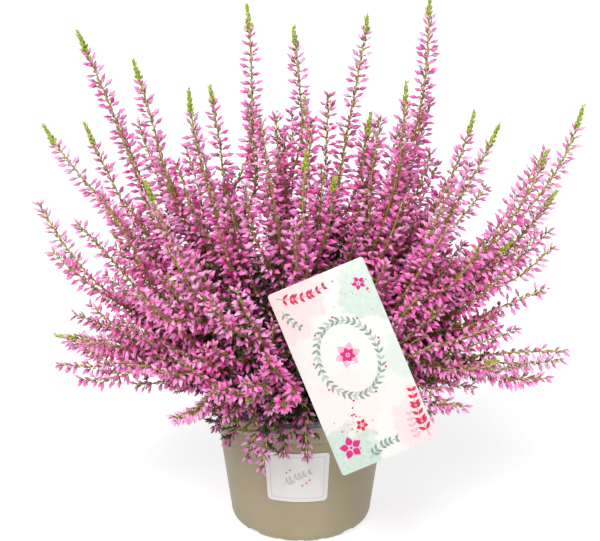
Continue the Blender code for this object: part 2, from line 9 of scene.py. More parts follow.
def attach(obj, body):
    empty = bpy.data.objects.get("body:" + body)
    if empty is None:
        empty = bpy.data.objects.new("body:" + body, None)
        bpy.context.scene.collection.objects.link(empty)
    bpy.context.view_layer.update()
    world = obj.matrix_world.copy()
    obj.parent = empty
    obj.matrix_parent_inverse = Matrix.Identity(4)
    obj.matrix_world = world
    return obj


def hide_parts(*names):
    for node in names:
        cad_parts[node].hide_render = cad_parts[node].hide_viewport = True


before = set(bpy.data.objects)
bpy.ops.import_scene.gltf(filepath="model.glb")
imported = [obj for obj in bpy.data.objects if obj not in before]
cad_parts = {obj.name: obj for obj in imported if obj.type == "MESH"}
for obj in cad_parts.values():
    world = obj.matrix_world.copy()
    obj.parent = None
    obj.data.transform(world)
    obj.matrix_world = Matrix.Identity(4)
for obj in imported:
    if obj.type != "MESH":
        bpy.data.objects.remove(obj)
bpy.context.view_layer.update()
mm = 0.001
hair = 1e-6  # two places nearer than this are one
print("frame loaded")


# Small tools that every piece uses

def linear(hexText):
    parts = [int(hexText[i:i + 2], 16) / 255 for i in (1, 3, 5)]
    return tuple(p / 12.92 if p <= 0.04045 else ((p + 0.055) / 1.055) ** 2.4 for p in parts) + (1.0,)


def newMaterial(name, hexText, roughness, ior=1.5):
    material = bpy.data.materials.new(name)
    material.use_nodes = True
    shader = material.node_tree.nodes["Principled BSDF"]
    shader.inputs["Base Color"].default_value = linear(hexText)
    shader.inputs["Roughness"].default_value = roughness
    shader.inputs["IOR"].default_value = ior
    return material, material.node_tree, shader


def addNode(tree, kind, links=None, values=None, **settings):
    node = tree.nodes.new("ShaderNode" + kind)
    for key, value in settings.items():
        setattr(node, key, value)
    for key, value in (values or {}).items():
        node.inputs[key].default_value = value
    for key, source in (links or {}).items():
        tree.links.new(source, node.inputs[key])
    return node


def addRamp(tree, source, stops):
    # a colour ramp of (place, colour) stops
    ramp = addNode(tree, "ValToRGB", {"Fac": source})
    elements = ramp.color_ramp.elements
    while len(elements) < len(stops):
        elements.new(0.5)
    for element, (place, hexText) in zip(elements, stops):
        element.position = place
        element.color = linear(hexText)
    return ramp.outputs["Color"]


def addNoise(tree, scale, detail):
    # noise in the piece's own space, with the scale in cells a metre
    place = addNode(tree, "TexCoord").outputs["Object"]
    return addNode(tree, "TexNoise", {"Vector": place}, {"Scale": scale, "Detail": detail}).outputs["Fac"]


def addBump(tree, shader, height, strength, distance):
    bump = addNode(tree, "Bump", {"Height": height}, {"Strength": strength, "Distance": distance})
    tree.links.new(bump.outputs["Normal"], shader.inputs["Normal"])


def addSpan(tree, source, values, **settings):
    return addNode(tree, "MapRange", {"Value": source}, values, **settings).outputs["Result"]


def addMath(tree, operation, links, values=None):
    return addNode(tree, "Math", links, values, operation=operation).outputs["Value"]


def addMix(tree, factor, under, hexText):
    # turns the colour beneath, a hex text or a socket, towards another one by the factor
    links, values = {"Factor": factor}, {7: linear(hexText)}
    if isinstance(under, str):
        values[6] = linear(under)
    else:
        links[6] = under
    return addNode(tree, "Mix", links, values, data_type="RGBA").outputs[2]


def deselectAll():
    if bpy.context.object and bpy.context.object.mode != "OBJECT":
        bpy.ops.object.mode_set(mode="OBJECT")
    bpy.ops.object.select_all(action="DESELECT")


def startPiece(name):
    # names the primitive that was just added
    piece = bpy.context.object
    piece.name = name
    piece.data.name = name
    return piece


def pick(piece):
    # makes the piece the only selected one, and the active one
    deselectAll()
    piece.select_set(True)
    bpy.context.view_layer.objects.active = piece


def applyPlace(piece):
    pick(piece)
    bpy.ops.object.transform_apply(location=True, rotation=True, scale=True)


def applyModifier(piece, kind, **settings):
    pick(piece)
    modifier = piece.modifiers.new(kind.title(), kind)
    for key, value in settings.items():
        setattr(modifier, key, value)
    bpy.ops.object.modifier_apply(modifier=modifier.name)


def joinPieces(main, others):
    pick(main)
    for piece in others:
        piece.select_set(True)
    bpy.ops.object.join()
    return main


def smoothByAngle(piece, degrees):
    pick(piece)
    bpy.ops.object.shade_smooth_by_angle(angle=math.radians(degrees))


def facing(turn):
    # the way of a turn in a flat plane
    return np.array((math.cos(turn), math.sin(turn)))


def standFor(piece, node):
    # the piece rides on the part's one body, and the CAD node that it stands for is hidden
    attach(piece, "root")
    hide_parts(node)


def edgeWay(edge):
    return (edge.verts[0].co - edge.verts[1].co).normalized()


def selectInEdit(piece, wanted, mode="VERT"):
    # selects vertices or edges in edit mode by a test on their middle
    bpy.ops.mesh.select_mode(type=mode)
    bpy.ops.mesh.select_all(action="DESELECT")
    shape = bmesh.from_edit_mesh(piece.data)
    if mode == "VERT":
        for vert in shape.verts:
            vert.select = bool(wanted(vert.co, vert))
        shape.select_flush(True)
    else:
        for edge in shape.edges:
            if wanted((edge.verts[0].co + edge.verts[1].co) / 2, edge):
                edge.select_set(True)
    bmesh.update_edit_mesh(piece.data)


def turnProfile(name, sides, profile):
    # a ring is added, then pulled along the profile of (radius, height) steps and closed at both ends
    radius, height = profile[0]
    deselectAll()
    bpy.ops.mesh.primitive_circle_add(vertices=sides, radius=radius, location=(0, 0, height))
    piece = startPiece(name)
    applyPlace(piece)
    bpy.ops.object.mode_set(mode="EDIT")
    bpy.ops.mesh.select_all(action="SELECT")
    for newRadius, newHeight in profile[1:]:
        rise = {"value": (0, 0, newHeight - height)}
        bpy.ops.mesh.extrude_edges_move(TRANSFORM_OT_translate=rise)
        growth = newRadius / radius
        bpy.ops.transform.resize(value=(growth, growth, 1), center_override=(0, 0, newHeight))
        radius, height = newRadius, newHeight
    bpy.ops.mesh.edge_face_add()
    firstRadius, firstHeight = profile[0]
    selectInEdit(piece, lambda co, v: math.dist((co.xy.length, co.z), (firstRadius, firstHeight)) < hair)
    bpy.ops.mesh.edge_face_add()
    bpy.ops.mesh.select_all(action="SELECT")
    bpy.ops.mesh.normals_make_consistent(inside=False)
    bpy.ops.object.mode_set(mode="OBJECT")
    return piece


# Shapes that repeat: a master is modelled once, read as arrays, and copied to many places

def readShape(piece):
    # corners and triangles of a master, which is then removed
    pick(piece)
    bpy.ops.object.mode_set(mode="EDIT")
    bpy.ops.mesh.select_all(action="SELECT")
    bpy.ops.mesh.quads_convert_to_tris()
    bpy.ops.object.mode_set(mode="OBJECT")
    mesh = piece.data
    corners = np.array([tuple(vert.co) for vert in mesh.vertices])
    faces = np.array([tuple(face.vertices) for face in mesh.polygons])
    bpy.data.objects.remove(piece, do_unlink=True)
    return corners, faces


def unit(vectors):
    return vectors / np.maximum(np.linalg.norm(vectors, axis=-1, keepdims=True), 1e-12)


def scatter(master, places, axes, rolls, sizes, shade=None, slot=0, smooth=True):
    # copies of a master that points along +Z, each along its own axis
    corners, faces = master
    count = len(places)
    up = unit(axes)
    helper = np.where(np.abs(up[:, 2:3]) < 0.9, np.array([[0.0, 0.0, 1.0]]), np.array([[1.0, 0.0, 0.0]]))
    side = unit(np.cross(helper, up))
    front = np.cross(up, side)
    cos, sin = np.cos(rolls)[:, None], np.sin(rolls)[:, None]
    side, front = side * cos + front * sin, front * cos - side * sin
    basis = np.stack([side, front, up], axis=1)
    sizes = np.broadcast_to(np.asarray(sizes, float).reshape(count, -1), (count, 3))
    points = np.einsum("kj,nj,nji->nki", corners, sizes, basis) + places[:, None]
    length = corners[:, 2] / corners[:, 2].max()
    tints = np.zeros((count, len(corners), 4))
    tints[..., 3] = 1
    tints[..., 1] = length[None]
    if shade is not None:
        tints[..., 0] = shade[0][:, None]
        tints[..., 2] = shade[1][:, None]
    triangles = faces[None] + (np.arange(count) * len(corners))[:, None, None]
    return points.reshape(-1, 3), triangles.reshape(-1, 3), tints.reshape(-1, 4), slot, smooth


def buildMesh(name, parts, materials):
    corners, triangles, tints, slots, smooths = [], [], [], [], []
    start = 0
    for points, faces, colours, slot, smooth in parts:
        corners.append(points)
        triangles.append(faces + start)
        tints.append(colours)
        slots.append(np.full(len(faces), slot, np.int32))
        smooths.append(np.full(len(faces), smooth, bool))
        start += len(points)
    corners, triangles = np.concatenate(corners), np.concatenate(triangles)
    mesh = bpy.data.meshes.new(name)
    mesh.vertices.add(len(corners))
    mesh.vertices.foreach_set("co", corners.astype(np.float32).ravel())
    mesh.loops.add(len(triangles) * 3)
    mesh.loops.foreach_set("vertex_index", triangles.astype(np.int32).ravel())
    mesh.polygons.add(len(triangles))
    mesh.polygons.foreach_set("loop_start", np.arange(len(triangles), dtype=np.int32) * 3)
    mesh.polygons.foreach_set("material_index", np.concatenate(slots))
    mesh.polygons.foreach_set("use_smooth", np.concatenate(smooths))
    mesh.update(calc_edges=True)
    layer = mesh.color_attributes.new("bloom", "FLOAT_COLOR", "POINT")
    layer.data.foreach_set("color", np.concatenate(tints).astype(np.float32).ravel())
    for material in materials:
        mesh.materials.append(material)
    piece = bpy.data.objects.new(name, mesh)
    bpy.context.scene.collection.objects.link(piece)
    return piece


# Camera, floor and light: a plain pale studio

camera = {
    "height": 658.1 * mm,
    "distance": 1228.4 * mm,
    "sideways": -0.7 * mm,
    "downwards": 21.2,  # degrees
    "lens": 117.4,  # mm
    "sensor": 36.0,  # mm
    "farthest": 20.0,
}


def makeCamera():
    deselectAll()
    place = (camera["sideways"], -camera["distance"], camera["height"])
    turn = (math.radians(90 - camera["downwards"]), 0, 0)
    bpy.ops.object.camera_add(location=place, rotation=turn)
    eye = bpy.context.object
    eye.name = "studioCamera"
    eye.data.lens = camera["lens"]
    eye.data.sensor_width = camera["sensor"]
    eye.data.clip_end = camera["farthest"]
    bpy.context.scene.camera = eye


studio = {
    "floorSize": 30.0,
    "white": (1.0, 1.0, 1.0, 1.0),
    "sunStrength": 3.1,
    "sunAngle": 26.0,  # degrees across, for a soft shadow
    "sunTurn": (38.0, -5.0, -8.0),
    "sunPlace": (-1.0, -1.0, 2.0),
    "skyStrength": 0.36,
    "paperGlow": 0.78,
}


def makeStudio():
    deselectAll()
    bpy.ops.mesh.primitive_plane_add(size=studio["floorSize"])
    floor = startPiece("studioFloor")
    # a lit white sweep: matt, and glowing a little so that shadows on it stay light
    paper, _, shader = newMaterial("litBackdropPaper", "#9A9A9A", 0.95)
    shader.inputs["Specular IOR Level"].default_value = 0.0
    shader.inputs["Emission Color"].default_value = studio["white"]
    shader.inputs["Emission Strength"].default_value = studio["paperGlow"]
    floor.data.materials.append(paper)
    turn = [math.radians(degrees) for degrees in studio["sunTurn"]]
    bpy.ops.object.light_add(type="SUN", location=studio["sunPlace"], rotation=turn)
    sun = bpy.context.object
    sun.name = "softKey"
    sun.data.energy = studio["sunStrength"]
    sun.data.angle = math.radians(studio["sunAngle"])
    world = bpy.data.worlds.new("softStudioSky")
    bpy.context.scene.world = world
    world.use_nodes = True
    sky = world.node_tree.nodes["Background"]
    sky.inputs["Color"].default_value = studio["white"]
    sky.inputs["Strength"].default_value = studio["skyStrength"]
    bpy.context.scene.view_settings.view_transform = "Standard"


makeCamera()
makeStudio()
print("camera and studio made")


# Nursery pot: thin injection-moulded polypropylene with a sloping lip and a notched foot

pot = {
    "sides": 144,
    "top": 92.0 * mm,
    "rimRadius": 60.0 * mm,
    "lip": 7.5 * mm,
    "rimRise": 2.0 * mm,
    "footRadius": 48.9 * mm,
    "footHeight": 8.0 * mm,
    "baseRadius": 43.5 * mm,
    "wall": 1.6 * mm,
    "floor": 2.2 * mm,
    "grooveHeight": 80.0 * mm,
    "grooveDepth": 0.4 * mm,
    "grooveHalf": 0.8 * mm,
    "drainHoles": 8,
    "drainRadius": 3.5 * mm,
    "drainCircle": 31.0 * mm,
    "drainSides": 24,
    # the foot's notches in each quarter: degrees round, width and height in mm
    "notches": ((0.0, 4.0, 1.62), (18.0, 4.5, 1.62), (-18.0, 4.5, 1.62), (45.0, 12.0, 3.6)),
    "notchOut": 2.3 * mm,
    "notchDepth": 9.3 * mm,
    "notchRound": 0.7 * mm,
    "sharpFrom": 32,  # degrees
    "liningFrom": 4 * mm,
}


def wallRadius(height):
    along = (height - pot["footHeight"]) / (pot["top"] - pot["footHeight"])
    return pot["footRadius"] + along * (pot["rimRadius"] - pot["footRadius"])


def makePotPlastic(name, hexText, darker):
    # polypropylene: a dull satin skin that scatters a broad soft highlight
    material, tree, shader = newMaterial(name, hexText, 0.46, 1.49)
    # faint clouding of the moulded skin, about 30 mm across
    tone = addRamp(tree, addNoise(tree, 33.0, 3.0), [(0.3, darker), (0.7, hexText)])
    tree.links.new(tone, shader.inputs["Base Color"])
    # fine moulding texture, drawn at 1.2 mm so that it still shows
    addBump(tree, shader, addNoise(tree, 830.0, 2.0), 0.05, 0.2 * mm)
    return material


def potProfile():
    top, rim, lip, wall = pot["top"], pot["rimRadius"], pot["lip"], pot["wall"]
    foot, base = pot["footRadius"], pot["baseRadius"]
    middle, half = pot["grooveHeight"], pot["grooveHalf"]
    # the rounded foot
    profile = [(base, 0.0), (base + 1.8 * mm, 0.5 * mm)]
    profile += [(foot - 1.2 * mm, 3.0 * mm), (foot - 0.2 * mm, 5.8 * mm)]
    # the wall, with one moulded groove
    plain = (pot["footHeight"], 30 * mm, 55 * mm, middle - half)
    profile += [(wallRadius(height), height) for height in plain]
    profile.append((wallRadius(middle) - pot["grooveDepth"], middle))
    profile += [(wallRadius(height), height) for height in (middle + half, top - 2 * mm)]
    # the rolled edge and the lip that slopes inwards
    profile += [
        (rim - 0.1 * mm, top - 0.9 * mm),
        (rim, top - 0.4 * mm),
        (rim - 0.3 * mm, top + 0.1 * mm),
        (rim - lip * 0.42, top + 0.8 * mm),
        (rim - lip * 0.48, top + 1.35 * mm),
        (rim - lip * 0.92, top + 2.0 * mm),
        (rim - lip, top + 1.7 * mm),
        (rim - lip, top + pot["rimRise"] - wall + 0.2 * mm),
    ]
    # the inside, down to the floor
    inside = [(wallRadius(top - 4 * mm) - wall, top - 4 * mm), (foot - wall, pot["footHeight"])]
    return profile + inside + [(base - wall / 2, pot["floor"])]


def drainCutters():
    cutters = []
    for hole in range(pot["drainHoles"]):
        turn = 2 * math.pi * (hole + 0.5) / pot["drainHoles"]
        place = (pot["drainCircle"] * math.cos(turn), pot["drainCircle"] * math.sin(turn), 0)
        bpy.ops.mesh.primitive_cylinder_add(
            vertices=pot["drainSides"], radius=pot["drainRadius"], depth=12 * mm, location=place)
        cutters.append(startPiece("drainCutter"))
    return cutters


def notchCutters():
    cutters = []
    out = pot["baseRadius"] + pot["notchOut"]
    for quarter in range(4):
        for offset, width, high in pot["notches"]:
            turn = math.radians(90.0 * quarter + offset) - math.pi / 2
            outward = Vector((math.cos(turn), math.sin(turn), 0))
            bpy.ops.mesh.primitive_cube_add(size=1, location=outward * out, rotation=(0, 0, turn))
            cutter = startPiece("notchCutter")
            cutter.scale = (pot["notchDepth"], width * mm, 2 * high * mm)
            applyPlace(cutter)
            bpy.ops.object.mode_set(mode="EDIT")
            # the two upper edges that run outwards are rounded
            crown = high * mm * 0.9
            selectInEdit(cutter, lambda co, e: co.z > crown and abs(edgeWay(e).dot(outward)) > 0.9, "EDGE")
            bpy.ops.mesh.bevel(offset=pot["notchRound"], segments=3)
            bpy.ops.object.mode_set(mode="OBJECT")
            cutters.append(cutter)
    return cutters


def makePot():
    piece = turnProfile("nurseryPot", pot["sides"], potProfile())
    cutters = drainCutters() + notchCutters()
    cutter = joinPieces(cutters[0], cutters[1:])
    applyModifier(piece, "BOOLEAN", operation="DIFFERENCE", object=cutter, solver="EXACT")
    bpy.data.objects.remove(cutter, do_unlink=True)
    smoothByAngle(piece, pot["sharpFrom"])
    piece.data.materials.clear()
    piece.data.materials.append(makePotPlastic("mouldedTaupePolypropylene", "#9C8F74", "#938769"))
    piece.data.materials.append(makePotPlastic("mouldedGreyLining", "#BCC4CB", "#B4BCC4"))
    for face in piece.data.polygons:
        spot = face.center
        onLip = spot.z > pot["top"] - 0.2 * mm
        inside = spot.z > pot["liningFrom"] and spot.xy.length < wallRadius(spot.z) - pot["wall"] * 0.6
        face.material_index = int(onLip or inside)
    standFor(piece, "pot")


soil = {
    "seed": 3,
    "top": 81.0 * mm,
    "gap": 0.3 * mm,
    "sides": 128,
    "rings": 44,
    "roughness": 2.4 * mm,
    "lumps": 120,  # a metre
    "highest": 1.1 * mm,
    "sink": 1.2 * mm,
    "sharpFrom": 40,  # degrees
    "crumbs": 420,
    "crumbSizes": (0.4, 1.3),  # mm
}


def makePeat():
    # moist peat: nearly black brown, dull, with paler fibres
    material, tree, shader = newMaterial("moistPeat", "#2A1D14", 0.92, 1.4)
    fibre = addNoise(tree, 420.0, 6.0)
    tone = addRamp(tree, fibre, [(0.32, "#150D08"), (0.55, "#33241A"), (0.72, "#5E4733")])
    tree.links.new(tone, shader.inputs["Base Color"])
    addBump(tree, shader, fibre, 0.9, 1.2 * mm)
    return material


def makeCrumbs(edge):
    # loose crumbs of peat, half sunk into the surface
    random = np.random.default_rng(soil["seed"])
    bpy.ops.mesh.primitive_ico_sphere_add(subdivisions=1, radius=1)
    master = readShape(startPiece("crumb"))
    count = soil["crumbs"]
    turn = random.uniform(0, 2 * math.pi, count)
    out = np.sqrt(random.uniform(0, 1, count)) * (edge - 2 * mm)
    high = np.full(count, soil["top"] - soil["sink"])
    places = np.stack([out * np.cos(turn), out * np.sin(turn), high], axis=1)
    axes = random.normal(size=(count, 3))
    size = random.uniform(*soil["crumbSizes"], (count, 1)) * random.uniform(0.6, 1.2, (count, 3)) * mm
    crumbs = scatter(master, places, axes, random.uniform(0, 6, count), size)
    return buildMesh("peatCrumbs", [crumbs], [makePeat()])


def makeSoil():
    top, gap, rings = soil["top"], soil["gap"], soil["rings"]
    edge = wallRadius(top) - pot["wall"] - gap * 1.3
    foot = pot["footRadius"] - pot["wall"] - gap * 1.3
    base = pot["baseRadius"] - pot["wall"] / 2 - gap * 2
    profile = [(base, pot["floor"] + gap), (foot, pot["footHeight"] + gap), (edge, top - soil["roughness"])]
    profile += [(edge * (1 - ring / rings), top - soil["sink"]) for ring in range(1, rings)]
    piece = turnProfile("pottingPeat", soil["sides"], profile)
    for vert in piece.data.vertices:
        if vert.co.z > top - 2 * mm:
            lump = noise.fractal(vert.co * soil["lumps"], 0.8, 2.2, 4)
            vert.co.z += min(soil["highest"], lump * soil["roughness"] * 0.6)
    smoothByAngle(piece, soil["sharpFrom"])
    crumbs = makeCrumbs(edge)
    piece.data.materials.append(crumbs.data.materials[0])
    joinPieces(piece, [crumbs])
    standFor(piece, "soil")


# Picture label: a thin white plastic card on a stake, and a sticker on the pot's front

label = {
    "width": 66.0 * mm,
    "height": 126.0 * mm,
    "thickness": 1.0 * mm,
    "corner": 2.0 * mm,
    "centre": Vector((33.0, -82.0, 147.5)) * mm,
    "lean": math.radians(18.0),
    "tilt": math.radians(22.7),
    "stakeFoot": Vector((20.0, -39.0, 0.0)) * mm,
    "edgeRound": 0.15 * mm,
    "stakeWidth": 5.0 * mm,
    "stakeThickness": 2.0 * mm,
    "stakeRound": 0.3 * mm,
    "stakeDepth": 19.7 * mm,
    "stakeUpright": 12.0 * mm,
    "sharpFrom": 35,  # degrees
    "white": "#DCDBD7",
    "ink": 0.06 * mm,
}


def cardAxes():
    face = Vector((0.0, -math.cos(label["lean"]), math.sin(label["lean"])))
    level = Vector((1.0, 0.0, 0.0))
    rise = level.cross(face) * -1
    up = rise * math.cos(label["tilt"]) - level * math.sin(label["tilt"])
    right = level * math.cos(label["tilt"]) + rise * math.sin(label["tilt"])
    return right, up, face


def cardPlace():
    right, up, face = cardAxes()
    place = Matrix((right, up, face)).transposed().to_4x4()
    place.translation = label["centre"]
    return place


# the card's washes: colour, centre across and up in card widths, radius, strength
washes = [
    ("#F1C3C4", (0.10, 1.80), 0.62, 0.80),
    ("#A9C4B5", (0.98, 1.62), 0.52, 0.75),
    ("#F4CFCB", (0.30, 0.62), 0.50, 0.60),
    ("#A4C0B1", (0.04, 0.06), 0.60, 0.85),
    ("#EFC0C6", (1.00, 0.22), 0.50, 0.65),
    ("#BCD1C5", (1.04, 0.86), 0.34, 0.60),
]


def makeCardPlastic():
    # printed polystyrene card: white and satin, with pale watercolour washes in its print
    material, tree, shader = newMaterial("printedWhitePolystyrene", label["white"], 0.38, 1.55)
    spread = addNode(tree, "UVMap", uv_map="print").outputs["UV"]
    # each wash is ragged by blots of about 13 mm, and mottled in pigment grains of about 2.5 mm
    blot = addNode(tree, "TexNoise", {"Vector": spread}, {"Scale": 5.0, "Detail": 5.0, "Roughness": 0.6})
    grain = addNode(tree, "TexNoise", {"Vector": spread}, {"Scale": 26.0, "Detail": 4.0})
    mottle = addSpan(tree, grain.outputs["Fac"], {"From Min": 0.3, "From Max": 0.7, "To Min": 0.55})
    colour = label["white"]
    for hexText, centre, radius, strength in washes:
        away = addNode(tree, "VectorMath", {0: spread}, {1: (*centre, 0)}, operation="DISTANCE")
        inside = addMath(tree, "MULTIPLY_ADD", {0: away.outputs["Value"]}, {1: -1 / radius, 2: 1.0})
        ragged = addMath(tree, "ADD", {0: blot.outputs["Fac"], 1: inside})
        edge = {"From Min": 0.74, "From Max": 0.9, "To Max": strength}
        mask = addSpan(tree, ragged, edge, interpolation_type="SMOOTHSTEP")
        colour = addMix(tree, addMath(tree, "MULTIPLY", {0: mask, 1: mottle}), colour, hexText)
    tree.links.new(colour, shader.inputs["Base Color"])
    return material


def makeInk(name, hexText):
    # offset ink: a thin film, a little duller than the card
    return newMaterial(name, hexText, 0.42, 1.5)[0]


# A printed shape is its corners, its triangles and the name of its ink

def flatShape(outline, ink, coats=1.0):
    # a thin closed plate from an outline in the card's own plane
    count, thickness = len(outline), coats * label["ink"]
    corners = np.array([(x, y, 0.0) for x, y in outline] + [(x, y, thickness) for x, y in outline])
    middle = corners[:count].mean(axis=0)
    corners = np.concatenate([corners, [middle, middle + (0, 0, thickness)]])
    faces = []
    for here in range(count):
        after = (here + 1) % count
        faces += [(after, here, 2 * count), (here + count, after + count, 2 * count + 1)]
        faces += [(here, after, after + count), (here, after + count, here + count)]
    return corners, np.array(faces), ink


def leafOutline(start, end, width, steps=7):
    start, end = np.array(start), np.array(end)
    along = end - start
    side = np.array((-along[1], along[0])) / np.linalg.norm(along) * width / 2
    parts = np.linspace(0, 1, steps)
    right = [start + along * p - side * math.sin(math.pi * p ** 0.8) for p in parts]
    left = [start + along * p + side * math.sin(math.pi * p ** 0.8) for p in parts[1:-1][::-1]]
    return [tuple(point) for point in right + left]


def strokeShape(points, width, ink):
    # a thin closed band of even width along the points
    points = np.array(points, float)
    along = np.gradient(points, axis=0)
    side = np.stack([-along[:, 1], along[:, 0]], axis=1)
    side = side / np.linalg.norm(side, axis=1, keepdims=True) * width / 2
    flat = np.concatenate([points - side, points + side])
    count, top = len(points), len(flat)
    corners = np.concatenate([np.c_[flat, np.zeros(top)], np.c_[flat, np.full(top, label["ink"])]])
    faces = []
    for here in range(count - 1):
        a, b, c, d = here, here + 1, here + 1 + count, here + count
        faces += [(a, c, b), (a, d, c), (a + top, b + top, c + top), (a + top, c + top, d + top)]
        faces += [(a, b, b + top), (a, b + top, a + top), (c, d, d + top), (c, d + top, c + top)]
    for a, b in ((count, 0), (count - 1, 2 * count - 1)):
        faces += [(a, b, b + top), (a, b + top, a + top)]
    return corners, np.array(faces), ink


def dotOutline(x, y, radius, sides=12):
    turns = np.linspace(0, 2 * math.pi, sides, endpoint=False)
    return [(x + radius * math.cos(t), y + radius * math.sin(t)) for t in turns]


printedTwig = {
    "stem": 0.35 * mm,
    "steps": 15,
    "firstLeaf": 0.16,
    "leafSpan": 0.78,
    "leafLean": math.radians(48),
    "leafStalk": 0.3 * mm,
}


def twig(spots, leaves, leafLength, leafWidth, ink):
    # a curved stem from the first spot to the last, bent towards the middle one, with pairs of leaves; in mm
    start, bend, end = (np.array(spot) * mm for spot in spots)
    last = printedTwig["steps"]
    parts = np.linspace(0, 1, last + 1)[:, None]
    line = (1 - parts) ** 2 * start + 2 * parts * (1 - parts) * bend + parts ** 2 * end
    shapes = [strokeShape(line, printedTwig["stem"], ink)]
    for leaf in range(leaves):
        part = printedTwig["firstLeaf"] + printedTwig["leafSpan"] * leaf / (leaves - 1)
        spot = int(part * last)
        along = line[min(spot + 1, last)] - line[spot - 1]
        heading = math.atan2(along[1], along[0])
        for hand in (-1, 1):
            turn = heading + hand * printedTwig["leafLean"]
            way = facing(turn)
            tip = line[spot] + way * leafLength * mm * (1.1 - 0.4 * part)
            outline = leafOutline(line[spot] + way * printedTwig["leafStalk"], tip, leafWidth * mm)
            shapes.append(flatShape(outline, ink))
    return shapes


def blossom(middle, radius, petals, ink, turn, coats):
    # a plain flower of separate rounded petals, and a dot for its middle; in mm
    shapes = []
    spot, radius = np.array(middle) * mm, radius * mm
    for petal in range(petals):
        way = turn + 2 * math.pi * petal / petals
        out = facing(way) * radius
        shapes.append(flatShape(leafOutline(spot + out * 0.2, spot + out, radius * 0.62, 9), ink, coats))
    shapes.append(flatShape(dotOutline(*spot, radius * 0.13), ink, coats * 1.4))
    return shapes


def printPiece(name, shapes, place, inks):
    # all the print of one host is one piece, with a material for each ink
    order = list(inks)
    parts = []
    for corners, faces, ink in shapes:
        points = np.array([tuple(place(Vector(corner))) for corner in corners])
        parts.append((points, faces, np.ones((len(points), 4)), order.index(ink), False))
    piece = buildMesh(name, parts, [makeInk(ink + "Ink", inks[ink]) for ink in order])
    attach(piece, "root")


def stakeRoute():
    # out of the soil, upright, then forward to the back of the card
    up, face = cardAxes()[1:]
    foot, top, centre = label["stakeFoot"], soil["top"], label["centre"]
    return [
        Vector((foot.x, foot.y, top - label["stakeDepth"])),
        Vector((foot.x, foot.y, top + label["stakeUpright"])),
        centre - face * 4 * mm - up * 10 * mm,
        centre - face * 0.1 * mm + up * 4 * mm,
    ]


def makeCard():
    width, height, thick = label["width"], label["height"], label["thickness"]
    deselectAll()
    bpy.ops.mesh.primitive_cube_add(size=1)
    card = startPiece("pictureLabel")
    card.scale = (width, height, thick)
    applyPlace(card)
    bpy.ops.object.mode_set(mode="EDIT")
    selectInEdit(card, lambda co, e: abs(co.z) < hair, "EDGE")
    bpy.ops.mesh.bevel(offset=label["corner"], segments=8)
    selectInEdit(card, lambda co, e: abs(abs(co.z) - thick / 2) < hair, "EDGE")
    bpy.ops.mesh.bevel(offset=label["edgeRound"], segments=2)
    bpy.ops.object.mode_set(mode="OBJECT")
    # the print lies on the card in card widths, from its lower left corner
    layer = card.data.uv_layers.active or card.data.uv_layers.new()
    layer.name = "print"
    for loop in card.data.loops:
        spot = card.data.vertices[loop.vertex_index].co
        layer.data[loop.index].uv = (spot.x / width + 0.5, (spot.y + height / 2) / width)
    smoothByAngle(card, label["sharpFrom"])
    card.data.materials.append(makeCardPlastic())
    return card


def makeStake():
    route = stakeRoute()
    deselectAll()
    bpy.ops.mesh.primitive_plane_add(size=1, location=route[0])
    stake = startPiece("labelStake")
    stake.scale = (label["stakeWidth"], label["stakeThickness"], 1)
    applyPlace(stake)
    bpy.ops.object.mode_set(mode="EDIT")
    bpy.ops.mesh.select_all(action="SELECT")
    for here, after in zip(route, route[1:]):
        bpy.ops.mesh.extrude_region_move(TRANSFORM_OT_translate={"value": after - here})
    bpy.ops.mesh.select_all(action="SELECT")
    bpy.ops.mesh.normals_make_consistent(inside=False)
    selectInEdit(stake, lambda co, e: abs(edgeWay(e).z) > 0.3, "EDGE")
    bpy.ops.mesh.bevel(offset=label["stakeRound"], segments=2)
    bpy.ops.object.mode_set(mode="OBJECT")
    return stake


def makeLabel():
    card, place = makeCard(), cardPlace()
    card.data.transform(place)
    joinPieces(card, [makeStake()])
    smoothByAngle(card, label["sharpFrom"])
    standFor(card, "plant_label")
    makeLabelPrint(place)


cardPrint = {
    "seed": 12,
    "inks": {"crimson": "#C52B4E", "slate": "#8B918D", "sage": "#A8BBAD",
             "blush": "#E9A6B8", "moss": "#7F968A", "magenta": "#CC1577"},
    # an oval wreath: its middle above the card's, half its width and height, its line
    "wreath": (6.0 * mm, 19.5 * mm, 25.0 * mm),
    "wreathLine": 0.32 * mm,
    "wreathLeaves": 36,
    "leafTurns": (0.62, -0.78),
    "leafLengths": (4.0, 5.0),
    "leafWidth": 1.7 * mm,
    "berry": 0.75 * mm,
    "berryOut": 3.2 * mm,
    # middle, radius, petals, ink, turn and coats
    "blossoms": (
        ((0, 8), 8.5, 6, "blush", 0.0, 1.0),
        ((0, 8), 5.2, 6, "magenta", math.pi / 6, 1.5),
        ((-21, -48), 7.5, 5, "magenta", 0.3, 1.0),
        ((-9, -37), 4.2, 5, "crimson", 0.9, 1.0),
        ((24, 48), 4.6, 5, "magenta", 0.5, 1.0),
    ),
    # start, bend and end, leaves, their length and width, ink
    "twigs": (
        (((29, -60), (26, -44), (29.5, -27)), 8, 5.6, 2.3, "crimson"),
        (((22, -60), (20, -52), (22, -41)), 5, 4.2, 1.8, "blush"),
        (((-12, -59), (-3, -52), (9, -54)), 6, 4.6, 2.0, "moss"),
        (((-29, 59), (-14, 50), (4, 55)), 8, 5.0, 2.0, "crimson"),
        (((-28, 50), (-27, 42), (-21, 36)), 4, 4.2, 1.8, "moss"),
    ),
    "dots": 60,
    "dotRadii": (0.3, 0.9),
    # dots gather in the upper right and the lower left: middle and spread
    "dotGroups": (((20, 44), (7.0, 8.5)), ((-16, -34), (7.0, 8.5))),
    "dotsWithin": (30 * mm, 60 * mm),
}


